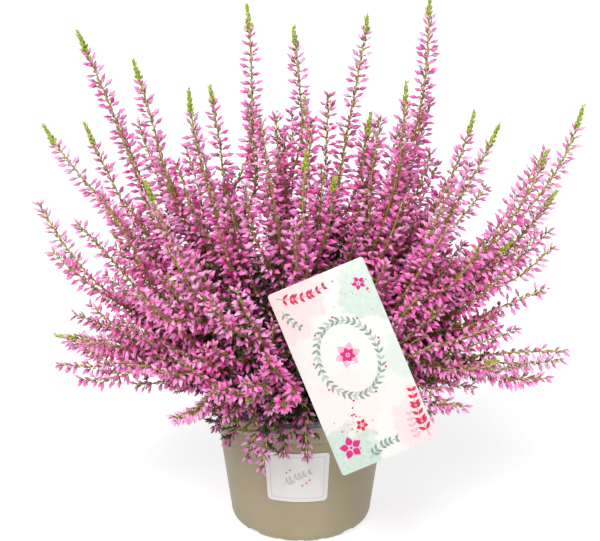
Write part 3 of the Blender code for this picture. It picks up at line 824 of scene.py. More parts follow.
def wreathShapes(random):
    middle, wide, high = cardPrint["wreath"]
    turns = np.linspace(0, 2 * math.pi, 90)
    oval = np.stack([np.cos(turns) * wide, np.sin(turns) * high + middle], axis=1)
    shapes = [strokeShape(oval, cardPrint["wreathLine"], "slate")]
    for leaf in range(cardPrint["wreathLeaves"]):
        turn = 2 * math.pi * leaf / cardPrint["wreathLeaves"]
        spot = np.array((math.cos(turn) * wide, math.sin(turn) * high + middle))
        for leafTurn in cardPrint["leafTurns"]:
            way = turn + math.pi / 2 + leafTurn
            end = spot + facing(way) * random.uniform(*cardPrint["leafLengths"]) * mm
            ink = ("slate", "sage", "moss")[leaf % 3]
            shapes.append(flatShape(leafOutline(spot, end, cardPrint["leafWidth"]), ink, 1.2))
        if leaf % 4 == 1:
            berry = spot + facing(turn) * cardPrint["berryOut"]
            shapes.append(flatShape(dotOutline(*berry, cardPrint["berry"]), "crimson", 1.3))
    return shapes


def makeLabelPrint(place):
    # an oval wreath round a blossom, twigs along the edges, and blossoms and dots in two corners
    random = np.random.default_rng(cardPrint["seed"])
    middle, wide, high = cardPrint["wreath"]
    shapes = wreathShapes(random)
    for blossomFacts in cardPrint["blossoms"]:
        shapes += blossom(*blossomFacts)
    for twigFacts in cardPrint["twigs"]:
        shapes += twig(*twigFacts)
    for dot in range(cardPrint["dots"]):
        centre, spread = cardPrint["dotGroups"][dot % 2]
        x, y = (random.normal(centre[axis], spread[axis]) * mm for axis in (0, 1))
        size = random.uniform(*cardPrint["dotRadii"]) * mm
        onCard = abs(x) < cardPrint["dotsWithin"][0] and abs(y) < cardPrint["dotsWithin"][1]
        if onCard and math.hypot(x / wide, (y - middle) / high) > 1.3:
            shapes.append(flatShape(dotOutline(x, y, size, 10), ("crimson", "blush", "slate")[dot % 3], 0.8))
    lift = Vector((0, 0, label["thickness"] / 2))
    printPiece("labelPrint", shapes, lambda p: place @ (p + lift), cardPrint["inks"])


sticker = {
    "width": 42.5 * mm,
    "bottom": 34.5 * mm,
    "height": 38.5 * mm,
    "corner": 3.0 * mm,
    "thickness": 0.35 * mm,
    "shift": math.radians(-2.8),
    "strips": 22,
    "sharpFrom": 20,  # degrees
    "inks": {"rose": "#D4688C", "warmGrey": "#B4B1AC"},
    "frameInset": 3.0 * mm,
    "frameCorner": 2.0 * mm,
    "frameLine": 0.35 * mm,
    "frameStep": 3.0 * mm,
    "twig": (((-9, -6), (-2, 1), (9, 5)), 6, 4.6, 1.9, "warmGrey"),
    "dots": ((-7, 4), (-4.6, 6), (6.4, -4), (8.4, -1.6), (3.6, -6)),
    "dotRadius": 0.8 * mm,
}


def onPotWall(point):
    # bends a flat point (x, y up, height proud) round the pot's sloping wall
    centre = sticker["bottom"] + sticker["height"] / 2
    turn = point.x / wallRadius(centre) + sticker["shift"]
    out = wallRadius(centre + point.y) + soil["gap"] + point.z
    return Vector((out * math.sin(turn), -out * math.cos(turn), centre + point.y))


def makeLabelPaper():
    # coated paper label: white, with a soft sheen and the least trace of fibre
    material, tree, shader = newMaterial("coatedLabelPaper", "#D3D0CF", 0.5, 1.48)
    addBump(tree, shader, addNoise(tree, 700.0, 3.0), 0.04, 0.1 * mm)
    return material


def makeSticker():
    width, thick = sticker["width"], sticker["thickness"]
    deselectAll()
    bpy.ops.mesh.primitive_cube_add(size=1)
    piece = startPiece("potSticker")
    piece.scale = (width, sticker["height"], thick)
    applyPlace(piece)
    bpy.ops.object.mode_set(mode="EDIT")
    selectInEdit(piece, lambda co, e: abs(co.z) < hair, "EDGE")
    bpy.ops.mesh.bevel(offset=sticker["corner"], segments=8)
    for cut in range(1, sticker["strips"]):
        bpy.ops.mesh.select_all(action="SELECT")
        across = (cut / sticker["strips"] - 0.5) * width
        bpy.ops.mesh.bisect(plane_co=(across, 0, 0), plane_no=(1, 0, 0))
    bpy.ops.object.mode_set(mode="OBJECT")
    for vert in piece.data.vertices:
        vert.co = onPotWall(vert.co + Vector((0, 0, thick / 2)))
    smoothByAngle(piece, sticker["sharpFrom"])
    piece.data.materials.append(makeLabelPaper())
    standFor(piece, "pot_sticker")
    makeStickerPrint()


def frameRoute():
    # a rectangle with rounded corners, its long sides in short steps so that it bends with the wall
    corner = sticker["frameCorner"]
    wide = sticker["width"] / 2 - sticker["frameInset"] - corner
    high = sticker["height"] / 2 - sticker["frameInset"] - corner
    bends = []
    for signX, signY, start in ((1, 1, 0), (-1, 1, 90), (-1, -1, 180), (1, -1, 270)):
        for step in range(0, 91, 15):
            turn = math.radians(start + step)
            bends.append(np.array((signX * wide, signY * high)) + corner * facing(turn))
    bends.append(bends[0])
    route = []
    for here, after in zip(bends, bends[1:]):
        steps = max(1, int(math.dist(here, after) / sticker["frameStep"]))
        route += [here + (after - here) * step / steps for step in range(steps)]
    return route + [bends[0]]


def makeStickerPrint():
    # a thin frame, one small twig and a few dots
    shapes = [strokeShape(frameRoute(), sticker["frameLine"], "warmGrey")]
    shapes += twig(*sticker["twig"])
    for x, y in sticker["dots"]:
        shapes.append(flatShape(dotOutline(x * mm, y * mm, sticker["dotRadius"]), "rose"))
    lift = Vector((0, 0, sticker["thickness"]))
    printPiece("stickerPrint", shapes, lambda p: onPotWall(p + lift), sticker["inks"])


makePot()
makeSoil()
makeLabel()
makeSticker()
print("pot, soil, label and sticker made")


# The plant's stems follow one family of lines that fan out of the pot and never cross, as in the CAD.
# A line's spot is its place in a unit disk; its reach is the distance along it from the soil.

plant = {
    "seed": 20,
    "rootSpread": 43.0 * mm,
    "reachStep": 4.0 * mm,
    "shareStep": 0.02,
    "upright": 14.0 * mm,
    "bend": 28.0 * mm,
    "straighten": 230.0 * mm,
    "leanShares": (0.0, 0.25, 0.5, 0.7, 0.85, 0.95, 1.04, 1.14),
    "leanStart": (0.0, 14.0, 31.0, 48.0, 66.0, 82.0, 108.0, 158.0),
    "leanEnd": (0.0, 4.0, 9.0, 15.0, 30.0, 62.0, 88.0, 170.0),
    "rootSpacing": 0.2,
    "tipSpacing": 0.08,
    "moveOver": 90.0 * mm,
    "sway": 0.022,
    "swayLength": 45.0 * mm,
    "backFrom": 12.0,
    "backSpan": 156.0,
    "backShares": (0.62, 0.93, 0.78),
    "backReaches": (205.0 * mm, 125.0 * mm, 175.0 * mm),
    "leafyPlaces": ((-150.0, 0.8), (-112.0, 0.62), (-28.0, 0.86), (70.0, 0.5)),
    "leafyReach": 85.0 * mm,
    "leastAside": 0.1,
    "mostAside": 0.24,
    "fork": 0.42,
    "tall": 165.0 * mm,
    # where two tall stems pass on their way up, in mm, by spray
    "through": {4: (-62, 20, 215), 5: (-24, 20, 235)},
    "farthestShare": 1.12,
    "clearStems": 5.0 * mm,
    "clearOwn": 3.5 * mm,
    "clearCard": 5.5 * mm,
    "clearCardSide": 5.0 * mm,
    "shortestSide": 8,
    "backSprays": 13,
    "leafyShoots": 4,
    # how far a side stem's tip stands from its main stem's, and its share of that one's reach
    "sideOffsets": (0.11, 0.2),
    "tallParts": (0.45, 0.62),
    "lowParts": (0.65, 0.9),
}

# each spray's tips in mm, the tallest first
sprayTips = [
    [(-145, 0, 345), (-128, 10, 290)],
    [(-168, 0, 285), (-155, 30, 272)],
    [(-115, 20, 320), (-95, -30, 290)],
    [(-72, -40, 320), (-62, 5, 310), (-84, -30, 268)],
    [(-35, 20, 360), (-48, 10, 292)],
    [(-5, 20, 345), (-14, 0, 280)],
    [(-25, -45, 300), (-38, -62, 262)],
    [(-98, -90, 275), (-84, -96, 238)],
    [(-173, -20, 235), (-160, -42, 215)],
    [(45, 30, 350), (26, 22, 298)],
    [(80, 0, 365), (84, 18, 298), (66, -8, 290)],
    [(66, -50, 325), (54, -36, 300)],
    [(112, 5, 293), (113, 20, 248)],
    [(123, -40, 296), (104, -48, 262)],
    [(185, 0, 297), (165, 12, 262)],
    [(162, -40, 275), (178, -22, 242)],
    [(80, 40, 282), (92, 48, 244)],
    [(8, -8, 290), (16, -26, 262)],
    [(3, -72, 284), (18, -62, 268), (-8, -84, 238)],
    [(38, -70, 272), (28, -66, 240)],
    [(-169, 0, 130), (-166, -22, 110)],
    [(-137, -40, 174), (-134, -62, 160)],
    [(-82, -66, 104), (-100, -58, 122)],
    [(-40, -108, 212), (-58, -100, 206)],
    [(-22, -112, 168), (-6, -108, 150)],
    [(-44, -90, 134), (-56, -84, 118)],
    [(164, -20, 176), (150, -2, 160)],
    [(173, -34, 142), (152, -50, 132)],
    [(126, -70, 174), (136, -62, 138)],
    [(100, -62, 112), (112, -44, 120)],
    [(-108, -84, 196), (-92, -98, 176)],
    [(-118, -64, 140), (-100, -80, 138)],
    [(-24, -76, 66), (-36, -74, 76), (-12, -78, 78)],
    [(-46, -60, 78), (-58, -50, 84)],
    [(-140, -56, 238), (-126, -30, 246)],
    [(92, -66, 238), (112, -62, 218)],
    [(-76, -104, 160), (-68, -94, 128)],
    [(148, -30, 222), (136, -48, 196)],
    [(4, -78, 76), (-8, -72, 92)],
]

shares = np.arange(0.0, plant["leanShares"][-1] + hair, plant["shareStep"])
reaches = np.arange(0.0, 360 * mm, plant["reachStep"])
layoutRandom = np.random.default_rng(plant["seed"])


def ease(value):
    value = np.clip(value, 0.0, 1.0)
    return value * value * (3 - 2 * value)


def fanTables():
    start = np.radians(np.interp(shares, plant["leanShares"], plant["leanStart"]))[:, None]
    end = np.radians(np.interp(shares, plant["leanShares"], plant["leanEnd"]))[:, None]
    bend = ease((reaches - plant["upright"]) / plant["bend"])[None, :]
    relax = np.clip((reaches - plant["upright"] - plant["bend"]) / plant["straighten"], 0.0, 1.0)[None, :]
    lean = bend * (start + (end - start) * relax)
    out = shares[:, None] * plant["rootSpread"] + np.cumsum(np.sin(lean), axis=1) * plant["reachStep"]
    high = soil["top"] + np.cumsum(np.cos(lean), axis=1) * plant["reachStep"]
    return out, high


fanOut, fanHigh = fanTables()


def fanPoints(spot, reach):
    spot, reach = np.atleast_2d(spot), np.atleast_1d(reach)
    share = np.clip(np.linalg.norm(spot, axis=1), hair, shares[-1] - hair)
    column, row = share / plant["shareStep"], np.clip(reach / plant["reachStep"], 0, len(reaches) - 1.001)
    i, j = np.minimum(column.astype(int), len(shares) - 2), row.astype(int)
    a, b = column - i, row - j
    values = []
    for table in (fanOut, fanHigh):
        low = table[i, j] * (1 - b) + table[i, j + 1] * b
        high = table[i + 1, j] * (1 - b) + table[i + 1, j + 1] * b
        values.append(low * (1 - a) + high * a)
    turn = np.arctan2(spot[:, 1], spot[:, 0])
    return np.stack([values[0] * np.cos(turn), values[0] * np.sin(turn), values[1]], axis=1)


def findLine(tip):
    # the spot and the reach of the line that comes nearest a tip in mm
    x, y, z = (value * mm for value in tip)
    error = (fanOut - math.hypot(x, y)) ** 2 + (fanHigh - z) ** 2
    i, j = np.unravel_index(np.argmin(error), error.shape)
    return max(shares[i], 0.03) * facing(math.atan2(y, x)), max(reaches[j], 50 * mm)


def spreadApart(spots, least, rounds=200):
    # pushes spots apart until none is nearer than the least distance; the last one, the stake's, stays
    spots, last = spots.copy(), spots[-1].copy()
    for _ in range(rounds):
        gap = spots[:, None] - spots[None]
        distance = np.linalg.norm(gap, axis=2) + np.eye(len(spots)) * 9
        short = np.maximum(0.0, least - distance)
        spots += (gap / distance[..., None] * short[..., None]).sum(axis=1) * 0.35
        share = np.linalg.norm(spots, axis=1, keepdims=True)
        spots *= np.minimum(1.0, plant["farthestShare"] / share)
        spots[-1] = last
    return spots


def holdUp(spot, mainSpot):
    most = max(0.98, np.linalg.norm(mainSpot))
    return spot * min(1.0, most / np.linalg.norm(spot))


def sway(steps, phase):
    wave = steps / plant["swayLength"] + phase
    return plant["sway"] * ease(steps / plant["moveOver"]) * np.array([np.cos(wave), np.sin(wave + phase)])


def course(main, steps):
    # a main stem's spots along its way, from its root over to its tip's, swaying a little
    root, through, end, phase = main
    over = ease((steps - plant["upright"]) / plant["moveOver"])[:, None]
    spots = root * (1 - over) + through * over
    late = ease((steps - plant["upright"] - plant["moveOver"]) / plant["moveOver"])[:, None]
    return spots * (1 - late) + end * late + sway(steps, phase).T


def backGroups(random):
    # the back, which the photograph hides, is filled by sprays of three kinds in turn
    groups = []
    for index in range(plant["backSprays"]):
        part = (index + random.uniform(-0.3, 0.3)) / (plant["backSprays"] - 1)
        turn = math.radians(plant["backFrom"] + plant["backSpan"] * part)
        share = plant["backShares"][index % 3] + random.uniform(-0.04, 0.04)
        reach = plant["backReaches"][index % 3] * random.uniform(0.9, 1.12)
        spot = share * facing(turn)
        groups.append([(spot, reach), (spot + 0.13 * facing(turn + 1.9), reach * 0.82)])
    return groups


def addSideStems(group, random):
    # a tall spray gets two more side stems on its outer side, a low one a single one on any side
    spot, reach = group[0][0][2], group[0][1]
    tall = reach > plant["tall"]
    outward = math.atan2(spot[1], spot[0])
    for _ in range(2 if tall else 1):
        turn = outward + random.uniform(-1.3, 1.3) if tall else random.uniform(0, 2 * math.pi)
        offset = random.uniform(*plant["sideOffsets"]) * facing(turn)
        part = random.uniform(*plant["tallParts" if tall else "lowParts"])
        group.append((holdUp(spot + offset, spot), reach * part))


def planSprays():
    # a spray's first entry is its main stem's course and reach, the others its side stems' spots and reaches
    random = layoutRandom
    groups = [[findLine(tip) for tip in tips] for tips in sprayTips] + backGroups(random)
    for degrees, share in plant["leafyPlaces"]:
        groups.append([(share * facing(math.radians(degrees)), plant["leafyReach"])])
    stake = np.array(label["stakeFoot"].xy) / plant["rootSpread"]
    mains = np.array([group[0][0] for group in groups] + [stake])
    roots, ends = spreadApart(mains, plant["rootSpacing"]), spreadApart(mains, plant["tipSpacing"])
    for index, group in enumerate(groups):
        reach, phase = group[0][1], random.uniform(0, 2 * math.pi)
        root, end = roots[index], ends[index] - sway(reach, phase)
        through = findLine(plant["through"][index])[0] if index in plant["through"] else end
        group[0] = ((root, through, end, phase), reach)
        for side in range(1, len(group)):
            offset = group[side][0] - mains[index]
            length = np.linalg.norm(offset)
            offset *= min(plant["mostAside"], max(plant["leastAside"], length)) / max(length, hair)
            group[side] = (holdUp(end + offset, end), group[side][1])
    for group in groups[:-plant["leafyShoots"]]:
        addSideStems(group, random)
    return groups


def mainLine(main, reach):
    steps = np.arange(0.0, reach + plant["reachStep"], plant["reachStep"])
    return fanPoints(course(main, steps), steps), steps


def sideLine(main, mainReach, spot, reach):
    fork = min(plant["fork"] * reach, 0.5 * mainReach)
    steps = np.arange(fork, reach, plant["reachStep"])
    part = ease((steps - fork) / max(plant["fork"] * reach, 30 * mm))[:, None]
    return fanPoints(course(main, steps) * (1 - part) + spot[None] * part, steps), steps


def labelPoints():
    right, up = cardAxes()[:2]
    points = []
    for across in np.arange(-0.5, 0.51, 0.1):
        for along in np.arange(-0.5, 0.51, 0.05):
            points.append(label["centre"] + right * across * label["width"] + up * along * label["height"])
    route = stakeRoute()
    for here, after in zip(route, route[1:]):
        points += [here.lerp(after, step / 20) for step in range(20)]
    return np.array([tuple(point) for point in points])


def nearest(points, others):
    gap = points[:, None] - others[None]
    return np.sqrt((gap * gap).sum(axis=2).min(axis=1))


def cutAt(points, steps, blocked):
    if len(blocked):
        return points[: blocked[0] - 1], steps[: blocked[0] - 1]
    return points, steps


def growLines(groups):
    # every line as [spray, points, steps, is it the main one]
    card = labelPoints()
    lines = []
    for index, group in enumerate(groups):
        points, steps = mainLine(*group[0])
        blocked = np.nonzero((nearest(points, card) < plant["clearCard"]) & (steps > 30 * mm))[0]
        lines.append([index, *cutAt(points, steps, blocked), True])
    mains = list(lines)
    for index, group in enumerate(groups):
        main, mainReach = group[0][0], mains[index][2][-1]
        for spot, reach in group[1:]:
            points, steps = sideLine(main, mainReach, spot, min(reach, mainReach * 1.05))
            blocked = np.nonzero(nearest(points, card) < plant["clearCardSide"])[0]
            points, steps = cutAt(points, steps, blocked)
            others = np.concatenate([line[1] for line in lines if line[0] != index])
            if len(points) >= plant["shortestSide"] and nearest(points, others).min() > plant["clearStems"]:
                own = np.concatenate([line[1] for line in lines if line[0] == index])
                if nearest(points[-4:], own).min() > plant["clearOwn"]:
                    lines.append([index, points, steps, False])
    return lines, mains, card


fill = {
    "seed": 77,
    "twigs": 6,
    "lowTwigs": 9,
    "lowHeight": 185 * mm,
    "nearestStem": 2.4 * mm,
    "reach": (0.38, 0.8),
    "lowReach": (0.5, 0.98),
    "rimHeight": 84 * mm,
    "rimReach": (0.6, 0.82),
    "leafyReach": (0.7, 1.0),
    "offsets": (0.06, 0.17),
    "clearCard": 6.0 * mm,
    "shortest": 6,
}


def addFillLines(groups, lines, mains, card):
    # thinner side twigs that the CAD leaves out, between the others
    random = np.random.default_rng(fill["seed"])
    for index, group in enumerate(groups):
        main, mainPoints, mainReach = group[0][0], mains[index][1], mains[index][2][-1]
        height = mainPoints[-1, 2]
        low = height < fill["lowHeight"]
        for _ in range(fill["lowTwigs" if low else "twigs"]):
            turn = random.uniform(0, 2 * math.pi)
            spot = main[2] + random.uniform(*fill["offsets"]) * facing(turn)
            reach = mainReach * random.uniform(*fill["lowReach" if low else "reach"])
            if height < fill["rimHeight"]:
                reach = mainReach * random.uniform(*fill["rimReach"])
            if index >= len(groups) - plant["leafyShoots"]:
                reach = mainReach * random.uniform(*fill["leafyReach"])
            points, steps = sideLine(main, mainReach, holdUp(spot, main[2]), reach)
            points, steps = cutAt(points, steps, np.nonzero(nearest(points, card) < fill["clearCard"])[0])
            if len(points) < fill["shortest"]:
                continue
            others = np.concatenate([line[1] for line in lines])
            if nearest(points[-5:], others).min() > fill["nearestStem"]:
                lines.append([index, points, steps, False])


# Heather's own shapes, each modelled once at unit length along +Z

petalSlot, woodSlot, leafSlot, tipSlot = range(4)
sepal = {
    "count": 3,
    "wide": 0.155,
    "thick": 0.12,
    "waist": 0.42,
    "out": 0.07,
    "tipOut": 0.035,
}


def startMaster(name, addShape, **settings):
    # adds a primitive and leaves it wholly selected in edit mode
    deselectAll()
    addShape(**settings)
    master = startPiece(name)
    bpy.ops.object.mode_set(mode="EDIT")
    bpy.ops.mesh.select_all(action="SELECT")
    return master


def makeBudMaster():
    # a flower bud: three narrow sepals closed round each other into a long pointed bud
    bud = startMaster("bud", bpy.ops.mesh.primitive_cone_add,
                      vertices=3, radius1=1, radius2=0, depth=1, end_fill_type="TRIFAN")
    bpy.ops.transform.translate(value=(0, 0, 0.5))
    selectInEdit(bud, lambda co, v: co.xy.length > 0.5)
    bpy.ops.transform.resize(value=(sepal["wide"], sepal["thick"], 1), center_override=(0, 0, 0))
    bpy.ops.transform.translate(value=(0, sepal["out"], sepal["waist"]))
    selectInEdit(bud, lambda co, v: co.z > 0.9)
    bpy.ops.transform.translate(value=(0, sepal["tipOut"], 0))
    corners = len(bmesh.from_edit_mesh(bud.data).verts)
    for side in range(1, sepal["count"]):
        turn = 2 * math.pi * side / sepal["count"]
        selectInEdit(bud, lambda co, v: v.index < corners)
        bpy.ops.mesh.duplicate()
        bpy.ops.transform.rotate(value=turn, orient_axis="Z", center_override=(0, 0, 0))
    return readShape(bud)


def makeNeedleMaster():
    # a scale leaf: a slim three-sided needle
    needle = startMaster("needle", bpy.ops.mesh.primitive_cone_add,
                         vertices=3, radius1=0.16, radius2=0, depth=1, end_fill_type="NOTHING")
    bpy.ops.transform.translate(value=(0, 0, 0.5))
    return readShape(needle)


def makeKnobMaster():
    # an unopened green bud of the growing tip: a small egg with a blunt point
    knob = startMaster("knob", bpy.ops.mesh.primitive_uv_sphere_add, segments=5, ring_count=3, radius=1)
    bpy.ops.transform.resize(value=(0.34, 0.34, 0.5))
    bpy.ops.transform.translate(value=(0, 0, 0.5))
    return readShape(knob)


def tube(points, radii, sides, shade, slot):
    # a closed smooth tube along the points
    along = unit(np.gradient(points, axis=0))
    side = unit(np.cross(along[0], (0.31, 0.9, 0.2)))
    turns = np.linspace(0, 2 * math.pi, sides, endpoint=False)[:, None]
    rings = []
    for point, axis, radius in zip(points, along, radii):
        side = unit(side - axis * side.dot(axis))
        rings.append(point + radius * (np.cos(turns) * side + np.sin(turns) * np.cross(axis, side)))
    ends = [points[:1] - along[:1] * radii[0], points[-1:] + along[-1:] * radii[-1]]
    corners = np.concatenate(rings + ends)
    count, faces = len(points), []
    foot, top, lastRing = count * sides, count * sides + 1, (count - 1) * sides
    for here in range(sides):
        after = (here + 1) % sides
        faces += [(after, here, foot), (lastRing + here, lastRing + after, top)]
        for ring in range(0, lastRing, sides):
            a, b = ring + here, ring + after
            faces += [(a, b, b + sides), (a, b + sides, a + sides)]
    tints = np.ones((len(corners), 4))
    tints[:, 0] = tints[:, 2] = shade
    tints[:, 1] = np.concatenate([np.repeat(np.linspace(0, 1, count), sides), [0, 1]])
    return corners, np.array(faces), tints, slot, True


bloom = {
    "seed": 5,
    "whorlGap": 4.9 * mm,
    "whorlJitter": 0.8 * mm,
    "budsInWhorl": 4,
    "budJitter": 1.2 * mm,
    "turnJitter": 0.4,
    "kept": 0.92,
    "budLength": 6.9 * mm,
    "budLengths": (0.78, 1.12),
    # a bud's share of its full length: at the stem's very tip, more on its grown part, more again lower down
    "budShares": (0.72, 0.18, 0.12),
    "budWidths": (1.12, 1.45),
    "youngPart": 20 * mm,
    "tapering": 90 * mm,
    # degrees from the stem: in the same three places, and either way
    "budLeans": (40, 20, 16, 13),
    # how much a bud sinks: away from a level stem's upper side, inside the bush, and below a level stem
    "hang": 0.5,
    "droop": 0.3,
    "levelDroop": 0.36,
    "stemSkin": 0.7 * mm,
    "pedicel": 1.5 * mm,
    "pedicelLengths": (0.8, 1.3),
    "pedicelWidth": 2.4 * mm,
    "bractLengths": (1.8, 3.0),
    "bractLean": 0.55,
    "needleWidth": 1.7,
    "meanTint": 0.45,
    "tintSpread": 0.2,
    "tipLength": 15.0 * mm,
    "tipChance": 0.06,
    "stemRadius": 0.95 * mm,
    "stemTipRadius": 0.5 * mm,
    "sideStem": 0.8,
    "stemStep": 9 * mm,
    "rootDepth": 15 * mm,
    "bareFoot": 34 * mm,
    "bareShare": 0.3,
    "bareSide": 0.08,
    "labelMargin": 3.5 * mm,
}
bloomRandom = np.random.default_rng(bloom["seed"])

# scale leaves: gap along the stem, length, degrees from the stem, shade, distance from its middle, material
leafKinds = {
    "stem": (2.1 * mm, 3.0 * mm, 28, 0.5, 0.5 * mm, leafSlot),
    "shoot": (0.5 * mm, 3.6 * mm, 50, 0.35, 0.5 * mm, leafSlot),
    "sprig": (0.8 * mm, 3.1 * mm, 46, 0.35, 0.1 * mm, leafSlot),
    "tip": (1.1 * mm, 3.2 * mm, 24, 0.5, 0.6 * mm, tipSlot),
}
# leaves and tip buds follow each other round the stem by this turn, in radians
spiralTurn = 2.4

# short leafy side shoots: gap along the stem, shortest and longest
sprigKinds = {
    "shoot": (6.0 * mm, (10 * mm, 17 * mm)),
    "foot": (3.4 * mm, (14 * mm, 26 * mm)),
    "stem": (7.0 * mm, (9 * mm, 17 * mm)),
}


def alongLine(points, steps, wanted):
    place = np.stack([np.interp(wanted, steps, points[:, axis]) for axis in range(3)], axis=1)
    slope = unit(np.gradient(points, axis=0))
    way = np.stack([np.interp(wanted, steps, slope[:, axis]) for axis in range(3)], axis=1)
    return place, unit(way)


def aroundAxis(way, turns):
    helper = np.where(np.abs(way[:, 2:3]) < 0.95, np.array([[0.0, 0.0, 1.0]]), np.array([[1.0, 0.0, 0.0]]))
    side = unit(np.cross(helper, way))
    other = np.cross(way, side)
    return side * np.cos(turns)[:, None] + other * np.sin(turns)[:, None]


def outerShare(places):
    # 0 deep inside the plant, 1 at its outside and top: where buds stand in the light
    out = np.linalg.norm(places[:, :2], axis=1) / (150 * mm)
    high = (places[:, 2] - 90 * mm) / (220 * mm)
    return np.clip(0.55 * out + 0.6 * high, 0, 1)


def clearOfLabel(places):
    # true where nothing would lie on the card's face or stand before it
    offset = places - np.array(label["centre"])
    right, up, face = (offset @ np.array(axis) for axis in cardAxes())
    margin = bloom["labelMargin"]
    beside = (np.abs(right) > label["width"] / 2 + margin) | (np.abs(up) > label["height"] / 2 + margin)
    return beside | (face < -margin)


def makeBuds(points, steps, first, total, age, masters):
    random = bloomRandom
    levels = np.arange(first, total, bloom["whorlGap"])
    levels = levels + random.uniform(-1, 1, len(levels)) * bloom["whorlJitter"]
    count = bloom["budsInWhorl"]
    number = len(levels) * count
    wanted = np.repeat(levels, count) + random.uniform(-1, 1, number) * bloom["budJitter"]
    wanted = np.clip(wanted, steps[0], total)
    place, way = alongLine(points, steps, wanted)
    whorl = np.repeat(np.arange(len(levels)), count)
    inWhorl = np.tile(np.arange(count), len(levels))
    turns = random.uniform(0, 6) + (whorl + 2 * inWhorl) * (math.pi / count)
    turns = turns + random.uniform(-1, 1, number) * bloom["turnJitter"]
    outward = aroundAxis(way, turns)
    # on a level stem the buds hang, on an upright one they point outwards, and upwards near its tip
    level = np.linalg.norm(way[:, :2], axis=1)
    outward[:, 2] -= np.maximum(outward[:, 2], 0) * level * bloom["hang"]
    outward = unit(outward)
    grown = np.clip((total - wanted) / bloom["youngPart"], 0, 1)
    lower = np.clip((total - wanted) / bloom["tapering"], 0, 1)
    least, more, lowest, either = bloom["budLeans"]
    lean = least + more * grown + lowest * lower + random.uniform(-either, either, number)
    lean = np.radians(lean)[:, None]
    direction = way * np.cos(lean) + outward * np.sin(lean)
    droop = bloom["droop"] * grown * (1 - outerShare(place)) * random.uniform(0.3, 1.4, number)
    direction[:, 2] -= droop + bloom["levelDroop"] * level ** 3
    direction = unit(direction)
    share = np.stack([np.ones(number), grown, lower], axis=1) @ bloom["budShares"]
    size = bloom["budLength"] * share * random.uniform(*bloom["budLengths"], number)
    stalk = bloom["pedicel"] * (0.5 + 0.5 * grown) * random.uniform(*bloom["pedicelLengths"], number)
    base = place + outward * bloom["stemSkin"]
    head = base + direction * stalk[:, None]
    keep = random.uniform(0, 1, number) < bloom["kept"]
    keep = keep & clearOfLabel(head + direction * size[:, None] * 0.7)
    light = outerShare(head)
    tint = np.clip(random.normal(bloom["meanTint"], bloom["tintSpread"], number) + age, 0, 1)
    wide = random.uniform(*bloom["budWidths"], number) * size
    # a small green bract clasps each bud's base
    bractWay = unit(direction - bloom["bractLean"] * unit(np.cross(direction, way)) + outward * 0.2)
    bract = random.uniform(*bloom["bractLengths"], number) * mm
    # painted light: bracts that stand in the light take paler tones of the ramp
    green = np.clip(random.uniform(0.2, 0.6, number) + 0.4 * light, 0, 1)
    stalkWidth, bractWidth = np.full(number, bloom["pedicelWidth"]), bract * bloom["needleWidth"]
    parts = []
    for master, start, axis, width, length, shade, slot in (
            ("bud", head, direction, wide, size, tint, petalSlot),
            ("needle", base, direction, stalkWidth, stalk * 1.6, tint, woodSlot),
            ("needle", head, bractWay, bractWidth, bract, green, leafSlot)):
        sizes = np.stack([width, width, length], axis=1)[keep]
        places = (start[keep], axis[keep], turns[keep])
        parts.append(scatter(masters[master], *places, sizes, (shade[keep], light[keep]), slot, False))
    return parts


def makeNeedles(points, steps, first, last, kind, masters, shade=None):
    random = bloomRandom
    gap, length, degrees, usualShade, out, slot = leafKinds[kind]
    wanted = np.arange(first, last, gap)
    number = len(wanted)
    if number < 2:
        return []
    wanted = wanted + random.uniform(-0.3, 0.3, number) * gap
    place, way = alongLine(points, steps, np.clip(wanted, steps[0], steps[-1]))
    turns = np.arange(number) * spiralTurn + random.uniform(0, 6)
    outward = aroundAxis(way, turns)
    lean = np.radians(degrees + random.uniform(-8, 8, number))[:, None]
    direction = way * np.cos(lean) + outward * np.sin(lean)
    sizes = length * random.uniform(0.8, 1.2, (number, 1)) * np.array([[bloom["needleWidth"]] * 2 + [1.0]])
    tint = random.uniform(-0.2, 0.2, number) + (usualShade if shade is None else shade)
    light = outerShare(place)
    # painted light: leaves that stand in the light take paler tones of the ramp
    tint = np.clip(tint + 0.35 * light, 0, 1)
    keep = clearOfLabel(place + direction * length * 0.6)
    if not keep.any():
        return []
    start = (place + outward * out)[keep]
    shades = (tint[keep], light[keep])
    return [scatter(masters["needle"], start, direction[keep], turns[keep], sizes[keep], shades, slot, False)]


def makeSprigs(points, steps, first, last, kind, masters):
    # short leafy side shoots that clothe the lower stems, each curving up
    random = bloomRandom
    gap, lengths = sprigKinds[kind]
    parts = []
    for level in np.arange(first, last, gap):
        place, way = alongLine(points, steps, np.array([level + random.uniform(-2, 2) * mm]))
        outward = aroundAxis(way, np.array([random.uniform(0, 6.3)]))
        direction = unit(way * 0.6 + outward * 0.8)[0]
        length = random.uniform(*lengths)
        sprigSteps = np.linspace(0, length, 4)
        along = sprigSteps[:, None]
        curve = place[0] + direction * along + np.array((0, 0, 12.0)) * along ** 2
        if not clearOfLabel(curve).all():
            continue
        shade = random.uniform(0.0, 0.7)
        parts += makeNeedles(curve, sprigSteps, 0.5 * mm, length, "sprig", masters, shade)
        parts.append(tube(curve, np.full(4, 0.32 * mm), 3, 0.3, woodSlot))
    return parts


